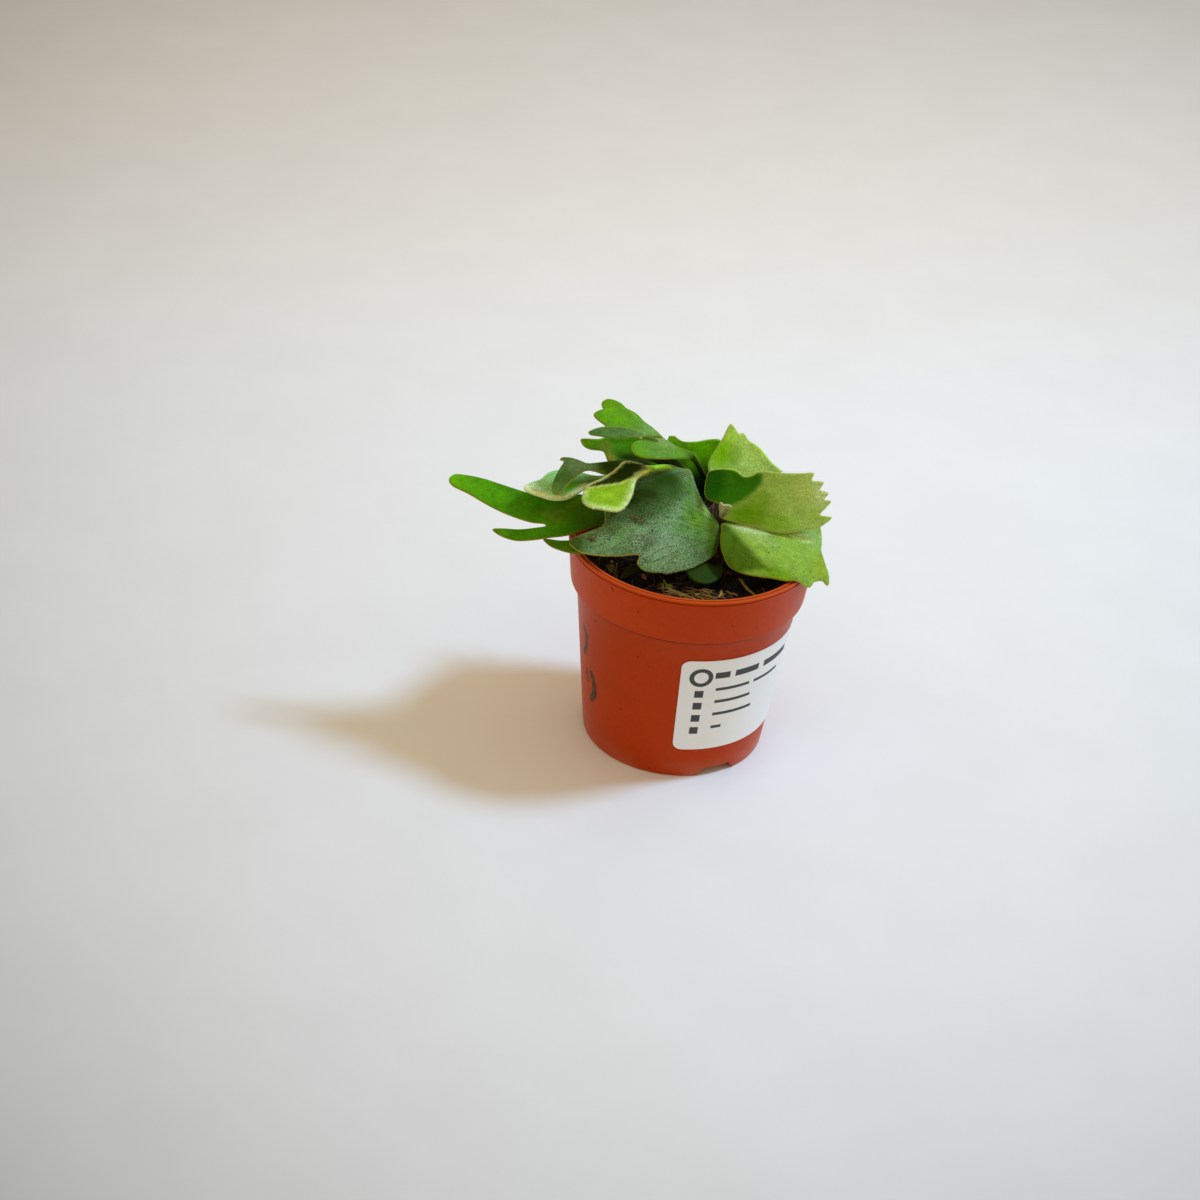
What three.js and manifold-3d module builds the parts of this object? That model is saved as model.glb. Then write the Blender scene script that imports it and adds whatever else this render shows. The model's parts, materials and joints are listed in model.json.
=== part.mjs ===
import * as THREE from "three";
import { mergeVertices } from "three/addons/utils/BufferGeometryUtils.js";
import Module from "manifold-3d";

const wasm = await Module();
wasm.setup();

// Driving dimensions in millimetres. The origin is the middle of the pot's foot, +Z is up.
const pot = {
  height: 54.6,
  lipRadius: 30,
  lipWidth: 1.8,
  bandBottom: 42.4,
  bandRadius: 28.6,
  shoulderRadius: 27.15,
  footRadius: 22.5,
  wall: 1.2,
  footRingHeight: 2.3,
  footRingWidth: 1.6,
  floorThickness: 1.4,
  centrePadRadius: 4.5,
};
const drainSlot = { count: 3, firstAngle: -60, footWidth: 10.3, topWidth: 7 };
const soil = { height: 49.3, clearance: 0.35, lumpHeight: 0.6 };
const crown = { centre: [5, 4.5, 50], radii: [8.5, 8, 11.5], buried: 5, scaleRelief: 0.3 };
const label = {
  width: 40, height: 27.6, corner: 2.2, startAngle: -90.5, middleHeight: 22.6, gap: 0.4, thickness: 0.3,
};
const leaf = { thickness: 0.8, extraAtRoot: 0.3, edgeStep: 1.25, grain: 2.5 };
const socket = { radius: 1.6, depth: 1.6, reach: 2.4, below: 0.7 };
const stipeRadius = 0.95;

const degrees = THREE.MathUtils.degToRad;
const vector = (point) => new THREE.Vector3(...point);

// Closed meshes are joined and cut as solids
function toSolid(geometry) {
  const plain = geometry.clone();
  plain.deleteAttribute("normal");
  plain.deleteAttribute("uv");
  const merged = mergeVertices(plain, 1e-4);
  const mesh = new wasm.Mesh({
    numProp: 3,
    vertProperties: new Float32Array(merged.attributes.position.array),
    triVerts: new Uint32Array(merged.index.array),
  });
  return new wasm.Manifold(mesh);
}

function toGeometry(solid) {
  const mesh = solid.getMesh();
  const geometry = new THREE.BufferGeometry();
  geometry.setAttribute("position", new THREE.BufferAttribute(mesh.vertProperties, 3));
  geometry.setIndex(new THREE.BufferAttribute(mesh.triVerts, 1));
  geometry.computeVertexNormals();
  return geometry;
}

// A profile of [radius, height] points turned round +Z
function turned(profile, segments) {
  const points = profile.map(([radius, height]) => new THREE.Vector2(radius, height));
  return new THREE.LatheGeometry(points, segments).rotateX(Math.PI / 2);
}

// Pot: a thin moulded cup with a raised rim band, a recessed floor and slots through its foot ring
function potRadius(height) {
  const slope = (pot.shoulderRadius - pot.footRadius) / pot.bandBottom;
  return pot.footRadius + slope * height;
}

function potInnerRadius(height) {
  if (height < pot.bandBottom) return potRadius(height) - pot.wall;
  const atShoulder = pot.shoulderRadius - pot.wall;
  const atLip = pot.lipRadius - pot.lipWidth;
  return THREE.MathUtils.mapLinear(height, pot.bandBottom, pot.height, atShoulder, atLip);
}

function makePot() {
  const floorTop = pot.footRingHeight + pot.floorThickness;
  const ringInside = pot.footRadius - pot.footRingWidth;
  const profile = [
    [0, 0],
    [pot.centrePadRadius, 0],
    [pot.centrePadRadius + 0.5, pot.footRingHeight],
    [ringInside + 0.2, pot.footRingHeight],
    [ringInside, 0.2],
    [ringInside + 0.3, 0],
    [pot.footRadius - 0.4, 0],
    [potRadius(0.5), 0.5],
    [potRadius(pot.bandBottom), pot.bandBottom],
    [pot.bandRadius, pot.bandBottom + 0.1],
    [pot.bandRadius + 0.12, pot.bandBottom + 0.9],
    [pot.lipRadius - 0.05, pot.height - 0.6],
    [pot.lipRadius - 0.35, pot.height],
    [pot.lipRadius - pot.lipWidth + 0.3, pot.height],
    [pot.lipRadius - pot.lipWidth, pot.height - 0.5],
    [pot.shoulderRadius - pot.wall, pot.bandBottom],
    [potInnerRadius(floorTop + 1), floorTop + 1],
    [potInnerRadius(floorTop) - 1, floorTop],
    [0, floorTop],
  ];
  let cup = toSolid(turned(profile, 60));
  for (let index = 0; index < drainSlot.count; index += 1) {
    cup = cup.subtract(makeDrainSlot(drainSlot.firstAngle + (index * 360) / drainSlot.count));
  }
  return toGeometry(cup);
}

function makeDrainSlot(angle) {
  const below = 1;
  const spread = (drainSlot.footWidth - drainSlot.topWidth) / 2 / pot.footRingHeight;
  const footHalf = drainSlot.footWidth / 2 + spread * below;
  const outline = new THREE.Shape([
    new THREE.Vector2(-footHalf, -below),
    new THREE.Vector2(footHalf, -below),
    new THREE.Vector2(drainSlot.topWidth / 2, pot.footRingHeight),
    new THREE.Vector2(-drainSlot.topWidth / 2, pot.footRingHeight),
  ]);
  const depth = pot.footRingWidth + 3;
  const wedge = new THREE.ExtrudeGeometry(outline, { depth, bevelEnabled: false });
  wedge.rotateX(Math.PI / 2);
  wedge.translate(0, depth - pot.footRadius - 1.5, 0);
  wedge.rotateZ(degrees(angle + 90));
  return toSolid(wedge);
}

// Sheets: a flat outline laid on a bent surface. Along its spine s runs from the root, t runs to
// the left of it, the face hints give its upper side, and curl is the bend across it on each side.
function bentSurface({ spine, face, curl }) {
  const path = new THREE.CatmullRomCurve3(spine.map(vector), false, "catmullrom", 0.5);
  path.arcLengthDivisions = 400;
  const length = path.getLength();
  const hints = face.map(vector);
  return (s, t, lift) => {
    const share = THREE.MathUtils.clamp(s / length, 0, 1);
    const along = path.getTangentAt(share);
    const middle = path.getPointAt(share).addScaledVector(along, s - share * length);
    const place = path.getUtoTmapping(share) * (spine.length - 1);
    const index = Math.min(Math.floor(place), spine.length - 2);
    const blend = place - index;
    const up = hints[index].clone().lerp(hints[index + 1], blend);
    up.addScaledVector(along, -up.dot(along)).normalize();
    const left = up.clone().cross(along);
    const side = t < 0 ? 0 : 1;
    const bend = THREE.MathUtils.lerp(curl[index][side], curl[index + 1][side], blend);
    const turn = bend * t;
    const across = Math.abs(bend) < 1e-6 ? t : Math.sin(turn) / bend;
    const rise = Math.abs(bend) < 1e-6 ? 0 : (1 - Math.cos(turn)) / bend;
    return middle
      .addScaledVector(left, across - lift * Math.sin(turn))
      .addScaledVector(up, rise + lift * Math.cos(turn));
  };
}

function inside(point, loop) {
  let odd = false;
  for (let index = 0, last = loop.length - 1; index < loop.length; last = index, index += 1) {
    const a = loop[index];
    const b = loop[last];
    const crosses = a.y > point.y !== b.y > point.y;
    if (crosses && point.x < ((b.x - a.x) * (point.y - a.y)) / (b.y - a.y) + a.x) odd = !odd;
  }
  return odd;
}

// Points on the outline at even steps, and a triangular net of points inside it
function sheetPoints(outline, edgeStep, grain) {
  const corners = outline.map(([s, t]) => new THREE.Vector3(s, t, 0));
  const edge = new THREE.CatmullRomCurve3(corners, true, "catmullrom", 0.5);
  const count = Math.round(edge.getLength() / edgeStep);
  const loop = edge.getSpacedPoints(count).slice(0, count).map(({ x, y }) => new THREE.Vector2(x, y));
  const box = new THREE.Box2().setFromPoints(loop);
  const net = [];
  const rowStep = (grain * Math.sqrt(3)) / 2;
  for (let row = 0, y = box.min.y; y < box.max.y; row += 1, y += rowStep) {
    for (let x = box.min.x + (row % 2) * (grain / 2); x < box.max.x; x += grain) {
      const point = new THREE.Vector2(x, y);
      const clear = loop.every((other) => other.distanceTo(point) > grain * 0.55);
      if (clear && inside(point, loop)) net.push(point);
    }
  }
  return { loop, points: [...loop, ...net] };
}

// Delaunay triangles of the points, grown point by point, that lie inside the loop
function triangulate({ loop, points }) {
  const far = 1000;
  const count = points.length;
  const nudge = 1e-4;
  const all = points.map(({ x, y }, index) => {
    return [x + nudge * Math.sin(index * 7.1), y + nudge * Math.cos(index * 3.7)];
  });
  all.push([-far, -far], [far, -far], [0, far]);
  let triangles = [circled(all, count, count + 1, count + 2)];
  for (let index = 0; index < count; index += 1) {
    const [x, y] = all[index];
    const open = new Map();
    const kept = [];
    for (const triangle of triangles) {
      if ((x - triangle.x) ** 2 + (y - triangle.y) ** 2 >= triangle.radiusSquared) {
        kept.push(triangle);
        continue;
      }
      const [a, b, c] = triangle.corners;
      for (const [from, to] of [[a, b], [b, c], [c, a]]) {
        if (!open.delete(`${to},${from}`)) open.set(`${from},${to}`, [from, to]);
      }
    }
    for (const [from, to] of open.values()) kept.push(circled(all, from, to, index));
    triangles = kept;
  }
  return triangles
    .map(({ corners }) => corners)
    .filter((corners) => corners.every((corner) => corner < count))
    .filter(([a, b, c]) => inside(points[a].clone().add(points[b]).add(points[c]).divideScalar(3), loop));
}

// A triangle's corners with the circle through them
function circled(all, a, b, c) {
  const [[ax, ay], [bx, by], [cx, cy]] = [all[a], all[b], all[c]];
  const twice = 2 * (ax * (by - cy) + bx * (cy - ay) + cx * (ay - by));
  const [aa, bb, cc] = [ax * ax + ay * ay, bx * bx + by * by, cx * cx + cy * cy];
  const x = (aa * (by - cy) + bb * (cy - ay) + cc * (ay - by)) / twice;
  const y = (aa * (cx - bx) + bb * (ax - cx) + cc * (bx - ax)) / twice;
  return { corners: [a, b, c], x, y, radiusSquared: (ax - x) ** 2 + (ay - y) ** 2 };
}

// A closed sheet: the same triangles on both faces, joined by a band round the edge
function makeSheet({ outline, edgeStep = leaf.edgeStep, grain = leaf.grain, ...shape }, halfThickness) {
  const surface = bentSurface(shape);
  const flat = sheetPoints(outline, edgeStep, grain);
  const triangles = triangulate(flat);
  const count = flat.points.length;
  const positions = [];
  for (const side of [1, -1]) {
    for (const { x, y } of flat.points) positions.push(...surface(x, y, side * halfThickness(x)));
  }
  const faces = [];
  const edges = new Map();
  for (const [a, b, c] of triangles) {
    faces.push(a, b, c, count + a, count + c, count + b);
    for (const [from, to] of [[a, b], [b, c], [c, a]]) {
      if (!edges.delete(`${to},${from}`)) edges.set(`${from},${to}`, [from, to]);
    }
  }
  for (const [from, to] of edges.values()) {
    faces.push(to, from, count + from, to, count + from, count + to);
  }
  const geometry = new THREE.BufferGeometry();
  geometry.setAttribute("position", new THREE.Float32BufferAttribute(positions, 3));
  geometry.setIndex(faces);
  geometry.computeVertexNormals();
  return geometry;
}

// Label: a rounded rectangle bent round the cone of the pot's body
function makeLabel() {
  const radius = potRadius(label.middleHeight) + label.gap + label.thickness / 2;
  const lean = (pot.shoulderRadius - pot.footRadius) / pot.bandBottom;
  const stations = 9;
  const spine = [];
  const face = [];
  for (let index = 0; index < stations; index += 1) {
    const angle = degrees(label.startAngle) + (label.width / radius) * (index / (stations - 1));
    spine.push([radius * Math.cos(angle), radius * Math.sin(angle), label.middleHeight]);
    face.push([Math.cos(angle), Math.sin(angle), -lean]);
  }
  const rounded = new THREE.Path();
  const [right, top, corner] = [label.width, label.height / 2, label.corner];
  rounded.absarc(right - corner, top - corner, corner, 0, Math.PI / 2);
  rounded.absarc(corner, top - corner, corner, Math.PI / 2, Math.PI);
  rounded.absarc(corner, corner - top, corner, Math.PI, Math.PI * 1.5);
  rounded.absarc(right - corner, corner - top, corner, Math.PI * 1.5, Math.PI * 2);
  rounded.closePath();
  const outline = rounded.getSpacedPoints(80).slice(0, 80).map(({ x, y }) => [x, y]);
  const curl = spine.map(() => [0, 0]);
  return makeSheet({ spine, face, curl, outline, edgeStep: 1.65, grain: 3.2 }, () => label.thickness / 2);
}

// Crown: the low scaly mound of the rhizome, half sunk in the soil
function makeMound(grow) {
  const [a, b, c] = crown.radii.map((radius) => radius + grow);
  const mound = new THREE.SphereGeometry(1, 26, 16).rotateX(Math.PI / 2);
  const corners = mound.attributes.position;
  const point = new THREE.Vector3();
  for (let index = 0; index < corners.count; index += 1) {
    point.fromBufferAttribute(corners, index);
    const turn = Math.atan2(point.y, point.x);
    const flank = Math.sqrt(Math.max(0, 1 - point.z * point.z));
    const relief = 1 + (crown.scaleRelief / a) * flank * Math.sin(5 * turn + 9 * point.z);
    const height = Math.max(point.z * c, -crown.buried - grow);
    corners.setXYZ(index, point.x * a * relief, point.y * b * relief, height);
  }
  return toSolid(mound.translate(...crown.centre));
}

// A stem's root on the mound: a point inside it and a point just outside, on the same straight line
function rootOn([azimuth, elevation]) {
  const way = new THREE.Vector3().setFromSphericalCoords(1, degrees(90 - elevation), degrees(azimuth + 90));
  const direction = new THREE.Vector3(way.x, -way.z, way.y);
  const radii = vector(crown.radii);
  const mouth = direction.clone().multiply(radii).add(vector(crown.centre));
  const outward = direction.divide(radii).normalize();
  return [-socket.depth, socket.reach].map((step) => mouth.clone().addScaledVector(outward, step));
}

// A plain round hole along a line, open well past its mouth
function makeHole(inner, outer) {
  const way = outer.clone().sub(inner).normalize();
  const start = inner.clone().addScaledVector(way, -socket.below);
  const end = outer.clone().addScaledVector(way, 2);
  const hole = new THREE.CylinderGeometry(socket.radius, socket.radius, start.distanceTo(end), 12);
  hole.applyQuaternion(new THREE.Quaternion().setFromUnitVectors(new THREE.Vector3(0, 1, 0), way));
  return toSolid(hole.translate(...start.add(end).multiplyScalar(0.5)));
}

// A round stipe through the given points, eight sided
function makeStipe(points) {
  const section = new THREE.Shape();
  section.absarc(0, 0, stipeRadius, 0, Math.PI * 2);
  const extrudePath = new THREE.CatmullRomCurve3(points);
  return toSolid(new THREE.ExtrudeGeometry(section, { steps: 6, curveSegments: 4, extrudePath }));
}

// Fronds. Each root is the azimuth and elevation of a hole on the crown. Points are in millimetres,
// and an outline runs round the blade laid flat, as distances along and to the left of its spine.
const fronds = {
  shield_front: {
    colour: "#5d8a55",
    root: [266, 38],
    foot: [4.5, -2],
    spine: [
      [6, -4.6, 59.2], [0, -8.6, 62.8], [-8, -11.7, 65.2], [-17, -13.6, 63.3], [-24, -14.4, 60.6],
      [-29.5, -14, 57.6],
    ],
    face: [
      [0, -0.66, 0.75], [0, -0.68, 0.73], [0, -0.68, 0.73], [0, -0.62, 0.78], [-0.1, -0.5, 0.86],
      [-0.2, -0.4, 0.88],
    ],
    curl: [
      [-0.02, -0.03], [-0.024, -0.032], [-0.026, -0.035], [-0.026, -0.03], [-0.02, -0.02], [-0.01, -0.01],
    ],
    outline: [
      [0.5, -2.5], [3.5, -4.7], [5.5, -7], [6.7, -10], [7.3, -13.3], [8, -15], [10.5, -14.7],
      [15, -13.5], [20, -11.5], [25, -9.7], [28, -8], [29.6, -6], [30.1, -3.5], [31, -2], [35, -1.6],
      [38.5, -1.4], [40, -0.5], [39.3, 1], [37, 3.5], [33, 5.5], [29, 6.6], [24.6, 7.3], [25.3, 9],
      [24.3, 11], [21.5, 12.1], [17, 12.6], [14, 12.5], [10.5, 11.5], [7, 9.7], [4, 7.8], [1.7, 6],
      [0.5, 3.5], [0, 0.5],
    ],
  },
  shield_right_low: {
    colour: "#86a63c",
    root: [318, 27],
    foot: [4, -1.5],
    spine: [
      [6.8, -5.3, 60.6], [13.5, -6.5, 60.3], [21, -7.8, 59.6], [27, -8.6, 58], [31.3, -8.9, 54.5],
      [33.3, -9.3, 50.3],
    ],
    face: [
      [-0.1, -0.2, 0.95], [-0.05, -0.2, 0.95], [0, -0.22, 0.95], [0.25, -0.3, 0.9], [0.75, -0.4, 0.45],
      [0.9, -0.4, 0.1],
    ],
    curl: [
      [-0.06, -0.08], [-0.06, -0.07], [-0.032, -0.06], [-0.012, -0.02], [-0.02, -0.02], [-0.02, -0.02],
    ],
    outline: [
      [-0.6, 2.2], [4, 3.5], [10, 6.5], [16, 9.5], [20, 12], [22, 11.5], [23.5, 6], [24, 3.5],
      [26.5, 1.3], [29.5, 0.6], [30.7, -0.8], [29, -2], [27.4, -4], [26.2, -5.5], [26, -7.4],
      [23.5, -8.7], [21.5, -9], [19.5, -9.7], [18, -10.4], [15.5, -10.7], [11, -11], [6.5, -10.7],
      [3.5, -9.7], [1.4, -7], [0.2, -4.2], [-0.4, -0.7],
    ],
  },
  shield_right_upright: {
    colour: "#8c9a45",
    root: [313, 54],
    foot: [5.5, -1],
    spine: [[2.5, 0.4, 65.7], [8, -0.2, 65.9], [15, -0.8, 66.6], [21.5, -1.1, 67.5], [29.5, -0.3, 68.8]],
    face: [[0, -0.8, 0.6], [-0.05, -0.83, 0.55], [-0.1, -0.85, 0.5], [-0.1, -0.85, 0.5], [-0.15, -0.85, 0.5]],
    curl: [[0.02, 0.03], [0.025, 0.03], [0.03, 0.03], [0.02, 0.02], [0.02, 0.02]],
    outline: [
      [3.5, -4.3], [5.5, -5], [8, -5.5], [11.5, -6], [14.5, -7], [17.5, -7.6], [21.5, -7.3],
      [25, -7.2], [27, -6.5], [29.2, -5], [27.8, -4.4], [26.5, -3.9], [28, -2.5], [29.5, -1],
      [27.9, -0.4], [29, 1], [27.1, 2], [28.1, 3.7], [25.5, 4.4], [26, 6.1], [22.7, 6.4], [17.5, 6.9],
      [13, 7.4], [10.5, 6.3], [8.5, 6], [6.5, 7.2], [4, 7.5], [1, 7], [-0.6, 6], [-1, 3], [-0.8, 0.6],
      [0.3, -0.5], [2.5, -1.1], [3.6, -2.2],
    ],
  },
  shield_rear_right: {
    colour: "#8db450",
    root: [48, 49],
    spine: [[9, 10, 66], [8, 12, 72.5], [6.7, 13.5, 79.2]],
    face: [[0.4, -0.8, 0.3], [0.4, -0.85, 0.3], [0.4, -0.85, 0.3], [0.35, -0.85, 0.3], [0.3, -0.85, 0.35]],
    curl: [[0, 0], [0, 0], [0.01, 0.01], [0.015, 0.015], [0.02, 0.02]],
    outline: [
      [0, -0.9], [3, -1.1], [4.5, -3], [6, -8.5], [8, -12.5], [11, -12], [13.5, -9.7], [16.5, -7.3],
      [17.7, -6], [19, -4.2], [21, -3], [21.3, -1.7], [23.5, -0.5], [24, 0], [23.3, 0.8], [21, 2.4],
      [18.5, 4.5], [16, 6.4], [13.5, 7], [11, 6], [7, 3.6], [4.5, 2], [2.5, 1], [0, 0.9],
    ],
  },
  shield_back: {
    colour: "#7f9d46",
    root: [30, 18],
    spine: [[15, 13, 57], [19, 18, 59], [23.5, 22.5, 58.5], [26.5, 26, 56.3]],
    face: [[-0.3, -0.2, 0.9], [-0.3, -0.2, 0.9], [-0.1, -0.1, 1], [0, 0, 1], [0.1, 0.1, 1], [0.3, 0.3, 0.9]],
    curl: [[0, 0], [0, 0], [-0.02, -0.02], [-0.04, -0.04], [-0.04, -0.04], [-0.03, -0.03]],
    outline: [
      [0, -0.9], [3, -1], [5, -3], [8, -6.5], [12, -8.5], [16, -8], [18.5, -8.6], [21, -7], [22, -4.6],
      [24.5, -3.8], [26, -1.5], [25.5, 0.8], [26.3, 3], [24, 5], [21, 5.5], [19, 7.5], [15, 8.5],
      [11, 7.8], [8, 6], [5, 2.8], [3, 1], [0, 0.9],
    ],
  },
  frond_rear_left: {
    colour: "#4c8213",
    root: [93, 34],
    spine: [[2.5, 13.5, 64], [-0.5, 15.7, 68], [-4, 17, 70.7], [-7.5, 17.5, 72]],
    face: [[0, -0.9, 0.3], [0, -0.9, 0.3], [0, -0.85, 0.4], [0, -0.8, 0.5], [0, -0.75, 0.6], [0, -0.7, 0.65]],
    curl: [[0, 0], [0.02, 0.02], [0.03, 0.03], [0.04, 0.04], [0.04, 0.04], [0.03, 0.03]],
    outline: [
      [0, -0.9], [3, -1.1], [7.4, -2.2], [9.9, -3.8], [11.9, -5.7], [14.4, -7.4], [16.7, -7.3],
      [17.9, -5.5], [19.4, -2.7], [21.4, -0.8], [22.9, -0.6], [23.9, -0.9], [25.3, -0.3], [25.3, 1],
      [25.9, 3], [27.9, 5.5], [29.3, 8.5], [28.9, 10.7], [26.4, 12], [20.9, 11.5], [15.4, 11],
      [11.4, 8.5], [8.4, 5.6], [4, 2.4], [2.3, 1], [0, 0.9],
    ],
  },
  frond_back: {
    colour: "#4f7c2a",
    root: [110, 12],
    spine: [[-1, 16, 57], [-6, 21, 58.5], [-12, 25.5, 58], [-18, 29, 56]],
    face: [[-0.3, 0.3, 0.9], [-0.3, 0.3, 0.9], [-0.2, 0.2, 0.95], [-0.1, 0.1, 1], [0, 0, 1], [-0.1, 0.1, 1]],
    curl: [[0, 0], [0, 0], [-0.01, -0.01], [-0.02, -0.02], [-0.02, -0.02], [-0.02, -0.02]],
    outline: [
      [0, -0.9], [3, -0.9], [8, -1.3], [13, -2.4], [18, -3.6], [22, -5.2], [26, -7], [29, -7.6],
      [29.5, -6], [27, -4], [24.5, -2], [26, -0.6], [30, 0], [34, 0.4], [35.5, 1.4], [34.5, 2.6],
      [30, 3], [25, 3.2], [19, 3], [13, 2.2], [8, 1.3], [3, 0.9], [0, 0.9],
    ],
  },
  antler_top: {
    colour: "#5f9a3f",
    root: [73, 85],
    spine: [[1.5, 6.4, 68], [-2.5, 4, 75], [-9.5, 1.5, 79.8], [-18, 0.5, 83], [-26.5, 0, 85.3]],
    face: [
      [-0.8, -0.5, 0.2], [-0.8, -0.5, 0.2], [-0.7, -0.5, 0.4], [-0.4, -0.45, 0.7], [-0.15, -0.42, 0.88],
      [-0.1, -0.45, 0.88], [-0.1, -0.5, 0.85],
    ],
    curl: [[0, 0], [0, 0], [0, 0], [-0.01, -0.01], [-0.02, -0.02], [-0.02, -0.02], [-0.02, -0.02]],
    outline: [
      [0, -0.9], [3, -0.9], [9, -0.9], [15, -0.9], [18.5, -0.6], [22.5, 0.4], [25, 0.2], [27, -0.2],
      [28.5, -1], [30.5, -1.9], [32.5, -2.6], [34.5, -3.9], [36.5, -4.5], [39, -4.4], [41.5, -3.2],
      [44, -1.5], [45, 0], [44, 1], [42, 1.9], [39, 1.8], [35.5, 1.5], [32.2, 1.2], [32.6, 2.5], [34, 3.7],
      [34.6, 5.3], [33.6, 6.9], [31, 7.1], [27.5, 6], [23.5, 4.1], [18.5, 1.7], [14, 1], [9, 0.9],
      [3, 0.9], [0, 0.9],
    ],
    lobes: [
      {
        spine: [[-10, 1.5, 80.3], [-15, 3.2, 83.7], [-20, 4.8, 85.6], [-25, 6, 85.3]],
        face: [[-0.3, -0.6, 0.7], [-0.2, -0.6, 0.8], [-0.1, -0.6, 0.8], [-0.1, -0.6, 0.8]],
        curl: [[0, 0], [0, 0], [0, 0], [0, 0]],
        outline: [
          [1.5, 1.5], [6.5, 0.5], [9, 0], [10.5, -0.1], [12.5, -0.9], [15, -1.4], [16.2, -1], [16.8, 0],
          [16, 1.4], [13.5, 2.4], [9.5, 2.5], [4.5, 2.4],
        ],
      },
      {
        spine: [[-10, -0.3, 79.6], [-16, -1.8, 80.6], [-22, -2.9, 81], [-28, -3.4, 81.2]],
        face: [[0, -0.6, 0.8], [0, -0.75, 0.65], [0, -0.8, 0.6], [0, -0.8, 0.6]],
        curl: [[0, 0], [0, 0], [0, 0], [0, 0]],
        outline: [
          [0, -0.8], [5, -1.2], [10, -1.8], [14, -1.2], [17, -0.4], [18.4, 0.4], [17, 1.3], [13, 1.6],
          [8, 1.4], [0, 0.8],
        ],
      },
    ],
  },
  antler_left_upper: {
    colour: "#4b7a1a",
    root: [133, 52],
    spine: [[-4, 9.5, 67], [-11, 7.5, 71.5], [-18, 5.5, 73.5], [-24, 4, 75], [-29.3, 3, 76.8]],
    face: [
      [-0.6, -0.5, 0.4], [-0.6, -0.5, 0.4], [-0.4, -0.6, 0.6], [-0.2, -0.8, 0.5], [0, -0.85, 0.45],
      [0, -0.8, 0.5], [0, -0.75, 0.6],
    ],
    curl: [[0, 0], [0, 0], [0.02, 0.02], [0.05, 0.05], [0.06, 0.06], [0.05, 0.05], [0.03, 0.03]],
    outline: [
      [0, -0.9], [3, -0.9], [10, -1], [14.2, -2], [19.2, -2.8], [23.7, -3.2], [28.7, -3.4], [32.7, -2.7],
      [35.2, -1.6], [38.2, -0.8], [39.6, -0.1], [38.5, 1.2], [36.7, 1.5], [34.2, 1.1], [33.2, 1.3],
      [32.6, 2.2], [31.7, 3.3], [28.7, 3], [25.7, 2.2], [22.7, 1.4], [14.2, 1.2], [10, 1], [3, 0.9],
      [0, 0.9],
    ],
  },
  antler_left_forked: {
    colour: "#4d6b3f",
    root: [169, 32],
    spine: [
      [-9, 6.3, 66], [-14, 3.5, 71.5], [-22, 1, 72], [-28.5, -2, 71.7], [-32.3, -4.8, 69.7],
      [-34.5, -7, 66.5],
    ],
    face: [
      [-0.5, -0.4, 0.6], [-0.5, -0.4, 0.6], [-0.3, -0.4, 0.8], [-0.2, -0.5, 0.8], [-0.2, -0.65, 0.7],
      [-0.35, -0.7, 0.6], [-0.55, -0.7, 0.4], [-0.6, -0.75, 0.2],
    ],
    curl: [[0, 0], [0, 0], [0, 0], [0, 0], [0.01, 0.01], [0.02, 0.02], [0.02, 0.02], [0.02, 0.02]],
    outline: [
      [0, -0.9], [3, -0.9], [10, -1], [15.2, -1], [21.2, -1], [26.7, -0.8], [30.2, -0.7], [33.2, -0.6],
      [35.7, -0.8], [37.2, -2], [38.7, -3.6], [39.8, -4.6], [40.4, -4.4], [40, -3.5], [41.2, -2.9],
      [43.7, -2], [46.2, -1], [47.2, 0.4], [46.5, 1.6], [44.7, 2.1], [41.7, 2], [38.7, 1.3], [36.2, 1.1],
      [34.2, 1.8], [31.7, 2.8], [28.2, 2.2], [21.2, 1.4], [15.2, 1.1], [10, 1], [3, 0.9], [0, 0.9],
    ],
  },
  antler_left_cupped: {
    colour: "#78a86c",
    root: [147, 12],
    spine: [[-8, 8.3, 60.6], [-17, 7, 64], [-26, 4, 64.5], [-34, 1, 64.2], [-41.5, -1.5, 65.2]],
    face: [
      [-0.2, -0.2, 0.9], [-0.2, -0.2, 0.9], [-0.1, -0.3, 0.9], [0, -0.4, 0.9], [0, -0.35, 0.9],
      [0, -0.3, 0.95], [0, -0.3, 0.95],
    ],
    curl: [[0, 0], [0, 0], [0.02, 0.02], [0.06, 0.06], [0.08, 0.08], [0.08, 0.08], [0.05, 0.05]],
    outline: [
      [0, -0.9], [3, -0.9], [9, -1], [16.6, -1.5], [22.6, -2.4], [27.6, -2.2], [30.6, -2.3], [33.6, -3.4],
      [36.1, -4.4], [39.1, -5], [42.1, -4.6], [44.6, -2.6], [47.6, -1.2], [49.3, 0.6], [47.9, 2.2],
      [45.6, 3.4], [43.1, 4.8], [40.6, 5], [38.6, 4.3], [35.6, 2.4], [33.1, 1.3], [27.6, 1.8], [22.6, 2],
      [16.6, 1.5], [9, 1], [3, 0.9], [0, 0.9],
    ],
  },
  frond_left_folded: {
    colour: "#9cbf3f",
    root: [207, 56],
    spine: [
      [-1.5, 6.6, 65.5], [-5.5, 7, 68.6], [-10, 3.6, 71.2], [-14.5, -1.2, 72.9], [-20, -6, 71.7],
      [-26, -9, 69.8],
    ],
    face: [
      [-0.6, -0.5, 0.4], [-0.6, -0.5, 0.4], [-0.5, -0.5, 0.6], [-0.4, -0.55, 0.65], [-0.3, -0.6, 0.7],
      [-0.15, -0.55, 0.8], [-0.1, -0.5, 0.86], [-0.1, -0.5, 0.86],
    ],
    curl: [[0, 0], [0, 0], [0, 0], [0.02, 0.02], [0.1, 0.02], [0.25, 0], [0.3, -0.01], [0.25, -0.01]],
    outline: [
      [0, -0.9], [3, -0.9], [8, -1], [12, -1], [17, -1], [21, -0.6], [24, -0.1], [26.5, -0.2], [28, -1],
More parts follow.
